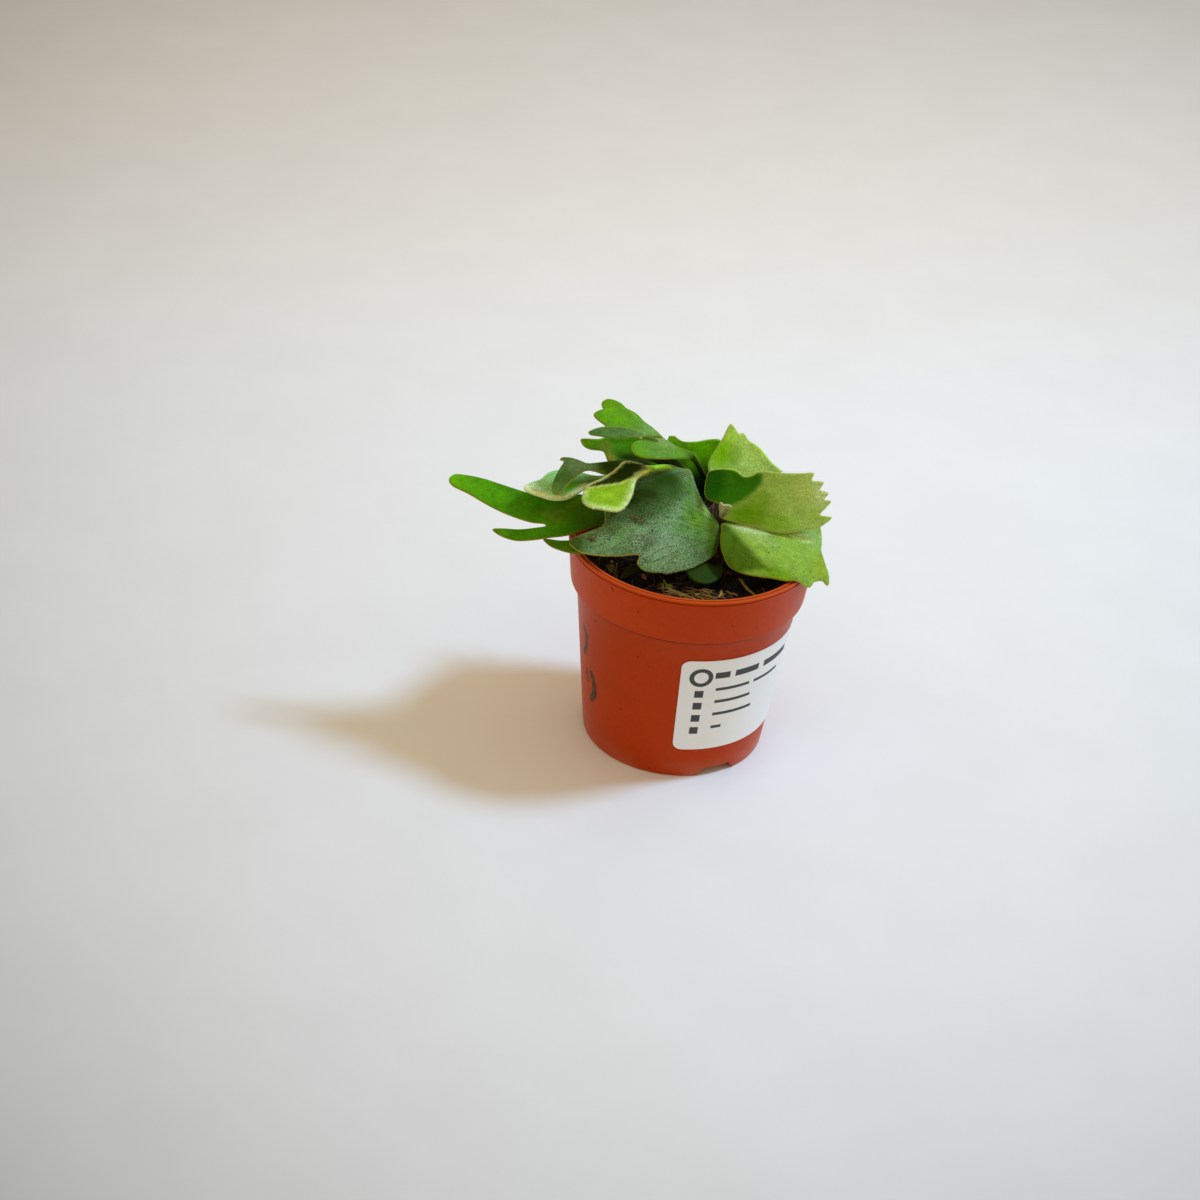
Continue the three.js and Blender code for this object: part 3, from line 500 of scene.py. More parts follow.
def make_soil():
    """The mix turned to fill the pot, with its top made lumpy and strewn with crumbs."""
    bottom = foot_ring_height + floor_thickness + soil_gap
    rim = wall_radius(band_bottom) - wall - soil_gap
    rim += (
        (lip_radius - lip_width - shoulder_radius + wall) * (soil_height - band_bottom)
        / (pot_height - band_bottom)
    )
    profile = [
        (0, bottom), (wall_radius(bottom) - wall - soil_gap - 1.6, bottom),
        (wall_radius(bottom + 1.6) - wall - soil_gap, bottom + 1.6),
        (wall_radius(band_bottom) - wall - soil_gap, band_bottom), (rim, soil_height - 0.6),
    ]
    profile += [(rim * (1 - share / 34), soil_height) for share in range(1, 35)]
    bm = turned(profile, 150)
    tone = bm.verts.layers.float.new("tone")
    for corner in bm.verts:
        corner[tone] = 0.25
        if corner.co.z > soil_height - 0.1:
            corner.co.z = soil_level(corner.co.x, corner.co.y)
    for _ in range(crumb_count):
        radius = rim * math.sqrt(random.random()) * 0.97
        angle = random.uniform(0, math.tau)
        x, y = radius * math.cos(angle), radius * math.sin(angle)
        size = random.choice((0.25, 0.32, 0.4, 0.5, 0.75))
        crumb = bmesh.new()
        bmesh.ops.create_icosphere(crumb, subdivisions=1 if size < 0.5 else 2, radius=size)
        for corner in crumb.verts:
            corner.co *= 1 + 0.45 * noise.noise(corner.co * 2.3 / size + Vector((x, y, 0)))
        shape = [random.uniform(low, high) for low, high in ((0.7, 1.4), (0.6, 1.1), (0.5, 0.9))]
        turn = Matrix.Rotation(angle * 5, 3, "Z")
        lie = (turn @ Matrix.Diagonal(shape)).to_4x4()
        place = Matrix.Translation((x, y, soil_level(x, y) + size * 0.25)) @ lie
        stamp(bm, crumb, place, random.choice((0.0, 0.05, 0.15, 0.3, 0.7)))
    bmesh.ops.recalc_face_normals(bm, faces=bm.faces)
    return bm


def soil_mix():
    """Dark peat from near black to brown by its tone, with paler grit in it."""
    finish = Finish("potting_mix", {"Specular IOR Level": 0.25})
    place = finish.place()
    rough = finish.noise(place, 700, 6, 0.7)
    colour = finish.mix(finish.fade(finish.number("tone"), 0, 1), "#080503", "#2e1d0f")
    colour = finish.mix(finish.fade(rough, 0.35, 0.75, 0, 0.8), colour, "#180e06")
    grit = finish.add("TexVoronoi", {"Vector": place, "Scale": 1500})
    colour = finish.mix(finish.fade(grit, 0.14, 0.08, 0, 0.2), colour, "#543a22")
    roughness = finish.fade(rough, 0.2, 0.8, 0.75, 1.0)
    return finish.end(colour, roughness, rough, depth=0.0005, strength=0.9)


def lay_fibre(bm, x, y, heading, length, radius, bend, tone):
    """A thin dry fibre that lies on the mix and rises a little between its ends."""
    count = 7
    points = []
    for index in range(count):
        share = index / (count - 1)
        turn = heading + bend * share
        px = x + length * share * math.cos(turn)
        py = y + length * share * math.sin(turn)
        reach = math.hypot(px, py)
        if reach > fibre_reach:
            px, py = px * fibre_reach / reach, py * fibre_reach / reach
        arch = 0.28 * length * share * (1 - share) * (0.4 + 0.6 * abs(math.sin(7 * heading)))
        points.append((px, py, soil_level(px, py) + radius + 0.25 + arch))
    swell = [math.sin(math.pi * (index + 0.7) / count) for index in range(count)]
    fibre = bmesh.new()
    tube(fibre, points, [radius * (0.65 + 0.35 * part) for part in swell], 5)
    stamp(bm, fibre, Matrix.Identity(4), tone)


# Each fibre is its place x, y, heading, length, radius, bend and tone. The bunches give the least
# and the most of each, after how many fibres there are, and the stout bits lie singly.
loose_fibres = (110, ((0, math.tau), (2, 7), (0.05, 0.11), (-0.9, 0.9), (0, 0.4)))
fibre_bunches = (
    (40, ((-8, 3), (-20, -15), (-0.65, 0.05), (3, 8), (0.08, 0.13), (-0.3, 0.3), (0.4, 1))),
    (9, ((-19.5, -17.5), (-14.5, -10), (1.2, 2), (2.5, 5), (0.09, 0.14), (-0.4, 0.4), (0.6, 1))),
)
stout_bits = (
    (11.6, -10.7, -1.12, 7.6, 0.36, 0.1, 0.8), (6.8, -18.6, 0.85, 3.2, 0.3, 0.5, 1.0),
    (8.0, -18.2, 2.4, 2.2, 0.26, -0.5, 0.8), (7.2, -17.2, 0.2, 1.8, 0.22, 0.4, 0.9),
    (8.6, -15.2, -0.3, 3.4, 0.3, -0.3, 0.7),
)


def make_fibres():
    """The dry fibres, the stout bits of husk and the flat chips that lie on the mix."""
    bm = bmesh.new()
    count, spans = loose_fibres
    for _ in range(count):
        radius = random.uniform(9, 25)
        angle = random.uniform(0, math.tau)
        chosen = [random.uniform(low, high) for low, high in spans]
        lay_fibre(bm, radius * math.cos(angle), radius * math.sin(angle), *chosen)
    for count, spans in fibre_bunches:
        for _ in range(count):
            lay_fibre(bm, *[random.uniform(low, high) for low, high in spans])
    for bit in stout_bits:
        lay_fibre(bm, *bit)
    for _ in range(chip_count):
        radius, angle = random.uniform(10, 25), random.uniform(0, math.tau)
        x, y = radius * math.cos(angle), radius * math.sin(angle)
        size = random.uniform(0.5, 1.2)
        chip = bmesh.new()
        bmesh.ops.create_cone(
            chip, cap_ends=True, segments=6, radius1=size, radius2=size * 0.75, depth=size * 0.35,
        )
        lie = Matrix.Rotation(random.uniform(-0.5, 0.5), 3, "X") @ Matrix.Diagonal((1.5, 0.7, 1))
        turn = Matrix.Rotation(random.uniform(0, math.tau), 3, "Z") @ lie
        place = Matrix.Translation((x, y, soil_level(x, y) + 0.3)) @ turn.to_4x4()
        stamp(bm, chip, place, random.uniform(0.1, 0.7))
    bmesh.ops.recalc_face_normals(bm, faces=bm.faces)
    return bm


def toned_finish(name, dark, pale, streak, share, start, scale, detail, rough, depth, sockets):
    """Dry matter from dark to pale by its tone, with a share of fine streaks of a third colour."""
    finish = Finish(name, sockets)
    streaks = finish.noise(finish.place(), scale, detail)
    colour = finish.mix(finish.number("tone"), dark, pale)
    colour = finish.mix(finish.fade(streaks, start, 0.7, 0, share), colour, streak)
    return finish.end(colour, finish.fade(streaks, 0, 1, *rough), streaks, depth=depth)


dry_fibre = toned_finish(
    "dry_fibre", "#3a240a", "#ad8c3e", streak="#6b4a22", share=0.4, start=0.4, scale=1400, detail=3,
    rough=(0.7, 0.9), depth=0.0001, sockets={"Specular IOR Level": 0.3},
)
finish_mesh(make_soil(), "peat_mix", soil_mix(), "potting_mix", "potting_soil")
finish_mesh(make_fibres(), "fibres_and_husks", dry_fibre, "potting_mix")

# Moss. A few soft bright tufts that have started on the mix near the pot's lip, each a bunch of
# short shoots clothed in tiny pointed leaves.
# A tuft is its place x, y and its number of shoots.
moss_tufts = (
    (-5.3, -17.6, 7), (-17.6, -13.4, 7), (-18.8, -11.2, 5), (9, 20.5, 9), (-16, 15, 8), (21, 8, 6),
)
leaves_on_shoot = 14


def make_moss():
    bm = bmesh.new()
    for x, y, shoots in moss_tufts:
        for _ in range(shoots):
            px, py = x + random.gauss(0, 0.55), y + random.gauss(0, 0.55)
            base = soil_level(px, py) + 0.15
            lean = Vector((random.gauss(0, 0.35), random.gauss(0, 0.35), 1)).normalized()
            height = random.uniform(0.9, 1.7)
            for turn in range(leaves_on_shoot):
                share = turn / leaves_on_shoot
                leaf = bmesh.new()
                bmesh.ops.create_cone(
                    leaf, cap_ends=True, segments=4, radius1=0.11, radius2=0.01, depth=0.6,
                )
                bmesh.ops.translate(leaf, vec=(0, 0, 0.3), verts=leaf.verts)
                bmesh.ops.scale(leaf, vec=(1, 0.35, 1), verts=leaf.verts)
                spin = Matrix.Rotation(turn * 2.4, 4, "Z") @ Matrix.Rotation(1.05 - 0.5 * share, 4, "X")
                place = Matrix.Translation(Vector((px, py, base)) + lean * height * share)
                stamp(bm, leaf, place @ spin, share)
    bmesh.ops.recalc_face_normals(bm, faces=bm.faces)
    return bm


def moss_green():
    """Moss in soft patches from green to yellow."""
    finish = Finish("moss_green", {"Subsurface Weight": 0.3, "Subsurface Scale": 0.0004})
    place = finish.place()
    patches = finish.noise(place, 500, 2)
    colour = finish.mix(patches, "#647e12", "#b6c43a")
    return finish.end(colour, finish.fade(patches, 0, 1, 0.6, 0.8), patches)


finish_mesh(make_moss(), "moss_tufts", moss_green(), "potting_mix")

# Crown. The fern's short creeping stem, a low mound half sunk in the mix, thickly covered with
# overlapping papery brown scales. Every frond grows out of it.
crown_centre = Vector((5, 4.5, 50))
crown_radii = Vector((8.5, 8, 11.5))
scale_count = 420


def crown_point(azimuth, elevation):
    """A point on the mound and the way that its surface faces there."""
    way = Vector((
        math.cos(elevation) * math.cos(azimuth), math.cos(elevation) * math.sin(azimuth),
        math.sin(elevation),
    ))
    point = crown_centre + Vector([a * b for a, b in zip(way, crown_radii)])
    outward = Vector([a / b for a, b in zip(way, crown_radii)]).normalized()
    return point, outward


def make_crown():
    """A lumpy mound with pointed scales set round it by the golden angle, each lying upwards."""
    bm = bmesh.new()
    mound = bmesh.new()
    bmesh.ops.create_icosphere(mound, subdivisions=5, radius=1)
    for corner in mound.verts:
        lumps = 0.94 + 0.05 * noise.fractal(corner.co * 3, 0.8, 2, 4)
        corner.co = Vector([a * b * lumps for a, b in zip(corner.co, crown_radii)])
        corner.co.z = max(corner.co.z, -5)
    stamp(bm, mound, Matrix.Translation(crown_centre), 0.15)
    golden = math.pi * (3 - math.sqrt(5))
    for index in range(scale_count):
        elevation = math.asin(-0.1 + 1.08 * index / scale_count)
        azimuth = index * golden + random.uniform(-0.2, 0.2)
        point, outward = crown_point(azimuth, elevation)
        length = random.uniform(2.2, 3.9)
        chaff = bmesh.new()
        bmesh.ops.create_cone(chaff, cap_ends=True, segments=8, radius1=0.55, radius2=0.04, depth=length)
        bmesh.ops.translate(chaff, vec=(0, 0, length / 2 - 0.3), verts=chaff.verts)
        bmesh.ops.scale(chaff, vec=(1, 0.16, 1), verts=chaff.verts)
        upward = Vector((0, 0, 1)) - outward * outward.z
        if upward.length < 0.2:
            upward = Vector((math.cos(azimuth), math.sin(azimuth), 0))
        upward = (upward.normalized() + outward * random.uniform(0.15, 0.55)).normalized()
        side = upward.cross(outward).normalized()
        across = side.cross(upward)
        turn = Matrix((side, across, upward)).transposed().to_4x4()
        place = Matrix.Translation(point - outward * 0.5) @ turn
        stamp(bm, chaff, place, random.choice((0.2, 0.35, 0.5, 0.7, 1.0)))
    bmesh.ops.recalc_face_normals(bm, faces=bm.faces)
    return bm


papery_scales = toned_finish(
    "papery_scales", "#27160c", "#8b6238", streak="#3b2210", share=0.5, start=0.35, scale=900, detail=4,
    rough=(0.7, 0.95), depth=0.0002, sockets={"Specular IOR Level": 0.3, "Sheen Weight": 0.2},
)
finish_mesh(make_crown(), "scaly_crown", papery_scales, "rhizome", "crown")

# Front shield frond. A broad rounded sterile frond, a leathery blade felted with pale starry hairs,
# arched over the pot's front with its lobed lower edge hanging free. A short stalk carries it.
# Its outline is drawn flat, as distances along and to the left of its spine, and is then bent.
leaf_thickness = 0.8
extra_at_root = 0.3
socket_depth = 1.6
socket_reach = 2.4
stipe_radius = 0.95
stalk_half_width = 0.9
net_step = 0.5
ripple = 0.1
hair_radius = 0.033


def smooth_points(controls, steps, closed):
    """A uniform Catmull-Rom curve through the controls, with the place of each point along them."""
    controls = np.asarray(controls, float)
    if closed:
        padded = np.vstack([controls[-1:], controls, controls[:2]])
        spans = len(controls)
    else:
        first, last = 2 * controls[0] - controls[1], 2 * controls[-1] - controls[-2]
        padded = np.vstack([first, controls, last])
        spans = len(controls) - 1
    share = np.linspace(0, 1, steps, endpoint=False)[:, None]
    points, places = [], []
    for span in range(spans):
        before, start, end, after = padded[span:span + 4]
        leave, arrive = (end - before) / 2, (after - start) / 2
        cubic = (2 * (start - end) + leave + arrive) * share ** 3
        points.append(cubic + (3 * (end - start) - 2 * leave - arrive) * share ** 2 + leave * share + start)
        places.append(span + share[:, 0])
    if not closed:
        points.append(controls[-1:])
        places.append([spans])
    return np.vstack(points), np.concatenate(places)


class BentSurface:
    """The surface that a flat outline is laid on.

    It has a spine, the way that its upper side faces at each point of the spine, and its bend across
    the spine there: one number, or one for the right and one for the left.
    """

    def __init__(self, spine, face, curl):
        self.points, self.places = smooth_points(spine, 80, closed=False)
        gaps = np.linalg.norm(np.diff(self.points, axis=0), axis=1)
        self.along = np.concatenate([[0], np.cumsum(gaps)])
        self.length = self.along[-1]
        heading = np.gradient(self.points, self.along, axis=0)
        self.heading = heading / np.linalg.norm(heading, axis=1)[:, None]
        self.face = np.asarray(face, float)
        self.curl = np.array([np.broadcast_to(bend, 2) for bend in curl], float)

    def at(self, s, t, lift):
        """The points so far along the spine, to the left of it and above the surface."""
        clamped = np.clip(s, 0, self.length)
        middle = np.stack([np.interp(clamped, self.along, axis) for axis in self.points.T], -1)
        heading = np.stack([np.interp(clamped, self.along, axis) for axis in self.heading.T], -1)
        heading /= np.linalg.norm(heading, axis=-1, keepdims=True)
        middle = middle + heading * (s - clamped)[:, None]
        place = np.interp(clamped, self.along, self.places)
        knots = np.arange(len(self.face))
        up = np.stack([np.interp(place, knots, axis) for axis in self.face.T], -1)
        up -= (up * heading).sum(-1, keepdims=True) * heading
        up /= np.linalg.norm(up, axis=-1, keepdims=True)
        left = np.cross(up, heading)
        right_bend, left_bend = (np.interp(place, knots, axis) for axis in self.curl.T)
        bend = np.where(t < 0, right_bend, left_bend)
        bend = np.where(np.abs(bend) < 1e-6, 1e-6, bend)
        turn = bend * t
        across = np.sin(turn) / bend - lift * np.sin(turn)
        rise = (1 - np.cos(turn)) / bend + lift * np.cos(turn)
        return middle + left * across[:, None] + up * rise[:, None]


def root_on(azimuth, elevation):
    """Two points of a stalk's root on the crown: one inside it and one just outside."""
    mouth, outward = crown_point(math.radians(azimuth), math.radians(elevation))
    return mouth - outward * socket_depth, mouth + outward * socket_reach


def even_outline(controls, step):
    """Points at even steps round the smooth closed outline."""
    curve, _ = smooth_points(controls, 24, closed=True)
    curve = np.vstack([curve, curve[:1]])
    along = np.concatenate([[0], np.cumsum(np.linalg.norm(np.diff(curve, axis=0), axis=1))])
    count = round(along[-1] / step)
    even = np.arange(count) * along[-1] / count
    return np.stack([np.interp(even, along, axis) for axis in curve.T], -1)


def edge_distance(points, outline):
    """How far each flat point lies from the outline."""
    start, end = outline, np.roll(outline, -1, axis=0)
    span = end - start
    nearest = np.full(len(points), 1e9)
    for a, d in zip(start, span):
        offset = points - a
        share = np.clip(offset @ d / (d @ d), 0, 1)
        gap = np.linalg.norm(offset - share[:, None] * d, axis=1)
        nearest = np.minimum(nearest, gap)
    return nearest


def flat_blade(outline):
    """A flat blade: an inset rim and a net of squares inside it."""
    bm = bmesh.new()
    corners = [bm.verts.new((s, t, 0)) for s, t in outline]
    inner = [bm.faces.new(corners)]
    inner[0].normal_update()
    for width in (0.06, 0.09, 0.12, 0.16):
        bmesh.ops.inset_region(
            bm, faces=inner, thickness=width, use_boundary=True, use_even_offset=True,
        )
    inner[0].material_index = 1
    low, high = outline.min(axis=0), outline.max(axis=0)
    for axis, way in enumerate(((1, 0, 0), (0, 1, 0))):
        for line in np.arange(low[axis] + net_step / 2, high[axis], net_step):
            faces = []
            for face in bm.faces:
                if face.material_index == 1:
                    places = [corner.co[axis] for corner in face.verts]
                    if min(places) < line - 0.02 and max(places) > line + 0.02:
                        faces.append(face)
            geometry = list(dict.fromkeys(edge for face in faces for edge in face.edges)) + faces
            geometry += list(dict.fromkeys(corner for face in faces for corner in face.verts))
            place = tuple(line * part for part in way)
            bmesh.ops.bisect_plane(bm, geom=geometry, dist=0.015, plane_co=place, plane_no=way)
    for face in bm.faces:
        face.material_index = 0
    return bm


def half_thickness(s, gap, at_root):
    """Half the blade's thickness, rounded off towards its edge and stouter on the stalk."""
    stalk = np.exp(-s / 6) if at_root else 0 * s
    half = leaf_thickness / 2 + extra_at_root / 2 * stalk
    rim = half + (0.5 * np.exp(-(s / 8) ** 2) if at_root else 0)
    return half * np.sqrt(1 - (1 - np.minimum(gap, rim) / rim) ** 2)


def grow_blade(bm, spine, face, curl, outline, at_root, seed, count_from=0):
    """Adds a closed blade to the bmesh, with its flat place kept in the layers s and t."""
    surface = BentSurface(spine, face, curl)
    loop = even_outline(outline, 0.42)
    flat = flat_blade(loop)
    layers = [bm.verts.layers.float[name] for name in ("s", "t", "side", "margin")]
    flat.verts.ensure_lookup_table()
    places = np.array([corner.co[:2] for corner in flat.verts])
    gap = edge_distance(places, loop)
    half = half_thickness(places[:, 0], gap, at_root)
    wave = [
        noise.noise(Vector((s / 5, t / 5, seed))) + 0.5 * noise.noise(Vector((s / 2, t / 2, seed)))
        for s, t in places
    ]
    wave = ripple * np.array(wave) * np.clip(gap / 2, 0.4, 1)
    if at_root:
        wave *= np.clip((places[:, 0] - 8) / 6, 0, 1)
    index_of = {corner: index for index, corner in enumerate(flat.verts)}
    rim = []
    for side in (1, -1):
        spots = surface.at(places[:, 0], places[:, 1], wave + side * half)
        made = []
        for index, spot in enumerate(spots):
            corner = bm.verts.new(spot)
            s, t = places[index]
            for layer, value in zip(layers, (count_from + s, t, side, gap[index])):
                corner[layer] = value
            made.append(corner)
            if gap[index] < 1e-3:
                rim.append(corner)
        for face_flat in flat.faces:
            ring = [made[index_of[corner]] for corner in face_flat.verts]
            bm.faces.new(ring if side > 0 else ring[::-1])
    flat.free()
    bmesh.ops.remove_doubles(bm, verts=rim, dist=1e-3)


def inside_outline(s, t, outline):
    """Whether each flat point lies inside the outline."""
    inside = np.zeros(len(s), bool)
    for start, end in zip(outline, np.roll(outline, -1, axis=0)):
        crossed = (start[1] > t) != (end[1] > t)
        level = np.where(end[1] == start[1], 1, end[1] - start[1])
        inside ^= crossed & (s < start[0] + (end[0] - start[0]) * (t - start[1]) / level)
    return inside


def blended(colour, share, shade):
    """The colours, each moved by its share towards the shade."""
    share = share[:, None]
    return colour * (1 - share) + np.array(linear(shade)) * share


def tint(mesh, base, under, patches, areas, bands, stalked):
    """Paints the blade's colours: its ground, soft patches, outlined areas and edge strips.

    A patch is its place s, t, its reach along and across, its shade and its strength. An area is its
    outline, softness, shade and strength. Many patches and areas are painted shade and painted light:
    shadows cast by other fronds, deep shade round the stalks, and light that offsets cast shadows. A
    band is its start and end along the spine, its side (1 left, -1 right, 0 both), width, shade and
    strength. The alpha is the strength of the pale rim, and the number wool that of the felt: both are
    weak where the colours are dark, as in the painted shade.
    """
    count = len(mesh.vertices)
    values = {}
    for name in ("s", "t", "side", "margin"):
        values[name] = np.empty(count, dtype=np.float32)
        mesh.attributes[name].data.foreach_get("value", values[name])
    s, t, margin = values["s"], values["t"], values["margin"]
    colour = np.tile(np.array(linear(base)), (count, 1))
    for at_s, at_t, reach_s, reach_t, shade, strength in patches:
        share = np.clip(1.25 - np.hypot((s - at_s) / reach_s, (t - at_t) / reach_t), 0, 1)
        colour = blended(colour, strength * share * share * (3 - 2 * share), shade)
    for corners, softness, shade, strength in areas:
        outline = np.array(corners, float)
        gap = edge_distance(np.stack([s, t], -1), outline)
        share = np.clip(gap * np.where(inside_outline(s, t, outline), 1, -1) / softness + 0.5, 0, 1)
        colour = blended(colour, strength * share * share * (3 - 2 * share), shade)
    for from_s, to_s, side, width, shade, strength in bands:
        inside = (s > from_s) & (s < to_s) & ((side == 0) | (np.sign(t) == side))
        ends = np.clip(np.minimum(s - from_s, to_s - s) / 2, 0, 1)
        colour = blended(colour, np.clip(1.4 - margin / width, 0, 1) * inside * ends * strength, shade)
    below = (values["side"] < 0)[:, None] & (margin > 0.1)[:, None]
    colour = np.where(below, colour * 0.35 + np.array(linear(under)) * 0.65, colour)
    colour[:, 3] = np.clip((colour[:, :3].max(axis=1) - 0.01) / 0.06, 0.1, 1)
    if stalked:
        colour[:, 3] *= np.clip((s - 14) / 8, 0.1, 1)
    painted = mesh.attributes.new("tint", "FLOAT_COLOR", "POINT")
    painted.data.foreach_set("color", colour.astype(np.float32).ravel())
    wool = np.clip(colour[:, 2] / (0.35 * colour[:, 1]), 0.08, 1) * np.clip(colour[:, 1] / 0.15, 0.03, 1)
    mesh.attributes.new("wool", "FLOAT", "POINT").data.foreach_set("value", wool.astype(np.float32))


def frond_skin(name, rim, felt, bloom="#a9c49a", gloss=0.5, glow=0.15, vein=0.1, dots=0.45, mottling=1):
    """Leathery skin: its painted tint, starry felt, soft fanned veins, dark dots and a pale rim.

    Rim and bloom are the colours of the rim and the felt, gloss is the least roughness, glow the
    light that passes through, and the rest are strengths.
    """
    finish = Finish(name, {
        "Subsurface Weight": glow, "Subsurface Radius": (0.6, 1.0, 0.05), "Subsurface Scale": 0.001,
        "Specular IOR Level": 0.2, "Specular Tint": (0.7, 1.0, 0.1, 1), "Sheen Weight": felt * 0.1,
        "Sheen Roughness": 0.4, "Sheen Tint": linear(bloom),
    })
    place = finish.place()
    tinted = finish.add("Attribute", output=0, attribute_name="tint")
    wool = finish.number("wool")
    along, across = finish.number("s"), finish.number("t")
    flat = finish.add("CombineXYZ", {0: along, 1: across})
    mottle = finish.noise(place, 620, 5, 0.6)
    broad = finish.noise(place, 150, 3, 0.6)
    low, high = 1 - 0.16 * mottling, 1 + 0.14 * mottling
    level = finish.times(
        finish.fade(mottle, 0.3, 0.7, low, high), finish.fade(broad, 0.3, 0.7, low + 0.04, high - 0.04),
    )
    grain = finish.minus(finish.noise(place, 2600, 2, 0.6), 0.5)
    grain = finish.times(grain, finish.plus(finish.times(wool, 1.1), 0.9))
    colour = finish.scaled(tinted, finish.times(level, finish.plus(grain, 1)))
    warm = finish.fade(finish.noise(place, 95, 2, 0.5), 0.45, 0.75, 0, 0.35)
    colour = finish.mix(warm, colour, "#f4e08c", "MULTIPLY")
    fan = finish.math("ARCTAN2", across, finish.plus(along, 6))
    reach = finish.distance(flat, (-6, 0, 0))
    lines = finish.add("CombineXYZ", {0: finish.times(fan, 9), 1: finish.times(reach, 0.07)})
    ridge = finish.fade(finish.apart(finish.noise(lines, 1, 1, 0.4, 0.2), 0.5), 0.06, 0.0)
    colour = finish.mix(finish.times(ridge, vein), colour, "#2c440c")
    stars = finish.fade(finish.noise(place, 3000, 2, 0.6), 0.44, 0.62)
    thick = finish.fade(finish.noise(place, 260, 4, 0.65), 0.3, 0.65, 0.6, 1)
    stars = finish.times(finish.times(stars, thick), finish.times(wool, felt))
    colour = finish.mix(stars, colour, bloom)
    specks = finish.add("TexVoronoi", {"Vector": place, "Scale": 620, "Randomness": 1})
    colour = finish.mix(finish.fade(specks, 0.15, 0.08, 0, dots), colour, "#182408")
    edge = finish.plus(finish.number("margin"), finish.times(finish.minus(mottle, 0.5), 0.3))
    lit = finish.times(finish.fade(edge, 0.26, 0.08, 0, 0.8), tinted.node.outputs["Alpha"])
    colour = finish.mix(lit, colour, rim)
    roughness = finish.fade(mottle, 0.25, 0.75, gloss, gloss + 0.15)
    height = finish.plus(finish.plus(finish.times(ridge, -0.4), finish.times(mottle, 0.7)), stars)
    return finish.end(colour, roughness, height, depth=0.00007, strength=0.8)


def add_hair(start, end, radius, tone):
    """Adds a fine tapering hair from start to end to the piece of hairs."""
    hair = bmesh.new()
    along = Vector(end) - Vector(start)
    bmesh.ops.create_cone(
        hair, cap_ends=True, segments=3, radius1=radius, radius2=radius * 0.3, depth=along.length,
    )
    turn = Vector((0, 0, 1)).rotation_difference(along).to_matrix().to_4x4()
    stamp(hairs, hair, Matrix.Translation((Vector(start) + Vector(end)) / 2) @ turn, tone)


def grow_margin_hairs(surface, outline, rows):
    """Grows hairs out of parts of a blade's margin.

    A row is the part's start and end along the spine, its side (1 left, -1 right, 0 both), the
    number of hairs to the millimetre, their length and their tone.
    """
    loop = even_outline(outline, 0.1)
    ahead = np.roll(loop, -1, axis=0) - np.roll(loop, 1, axis=0)
    following = np.roll(loop, -1, axis=0)
    turned_left = (loop[:, 0] * following[:, 1] - following[:, 0] * loop[:, 1]).sum() > 0
    outward = np.stack([ahead[:, 1], -ahead[:, 0]], -1) * (1 if turned_left else -1)
    outward /= np.linalg.norm(outward, axis=1)[:, None]
    for from_s, to_s, side, density, length, tone in rows:
        for (s, t), (out_s, out_t) in zip(loop, outward):
            if not from_s < s < to_s or side * t < 0:
                continue
            for _ in range(int(density * 0.1 + random.random())):
                long = length * random.uniform(0.5, 1.2)
                rise = random.uniform(-0.3, 0.9)
                lift = random.uniform(-0.15, 0.3)
                slip = random.uniform(-0.5, 0.5)
                flat_s = np.array([s - out_s * 0.12, s + (out_s - slip * out_t) * long])
                flat_t = np.array([t - out_t * 0.12, t + (out_t + slip * out_s) * long])
                start, end = surface.at(flat_s, flat_t, np.array([lift, lift + rise * long]))
                add_hair(start, end, hair_radius, tone * random.uniform(0.8, 1))


surfaces = {}
hairs = bmesh.new()


def make_frond(node, slot, skin, base, under, patches=(), areas=(), bands=(), wool=(), spine=(),
               face=(), curl=(), outline=(), root=None, foot=None, lobes=(), in_soil=False, extra=False):
    """Grows a frond, paints it and lets it stand for its CAD node, if it isn't an extra piece.

    A frond's root is the azimuth and elevation on the crown where its stalk enters. Its foot, if it
    has one, is the place on the blade where a round stalk meets it from below. A lobe is a blade of
    its own: spine, face, curl and outline, with its flat places counted from 100, 200 and so on.
    """
    bm = bmesh.new()
    for name in ("s", "t", "side", "margin"):
        bm.verts.layers.float.new(name)
    stalked = root is not None and foot is None
    points = [list(point) for point in root_on(*root)] + list(spine) if stalked else spine
    if stalked or in_soil:
        outline = [[0, -stalk_half_width]] + outline + [[0, stalk_half_width]]
    seed = len(bpy.data.objects)
    grow_blade(bm, points, face, curl, outline, stalked or in_soil, seed)
    surfaces[node] = BentSurface(points, face, curl)
    grow_margin_hairs(surfaces[node], outline, wool)
    for number, lobe in enumerate(lobes):
        grow_blade(bm, *lobe, False, seed, 100 * number + 100)
    if foot:
        surface = BentSurface(points, face, curl)
        inner, outer = root_on(*root)
        s, t = np.array([foot[0]]), np.array([foot[1]])
        under_point, join = (Vector(surface.at(s, t, np.array([lift]))[0]) for lift in (-2.0, -0.2))
        route, _ = smooth_points([inner, outer, under_point, join], 5, closed=False)
        stipe = tube(bm, route, [stipe_radius] * len(route), 16)
        for layer, value in (("s", foot[0]), ("t", foot[1]), ("side", -1), ("margin", 5)):
            for corner in stipe:
                corner[bm.verts.layers.float[layer]] = value
    piece = finish_mesh(bm, node + "_blade", skin, slot, *([] if extra else [node]))
    tint(piece.data, base, under, patches, areas, bands, stalked)


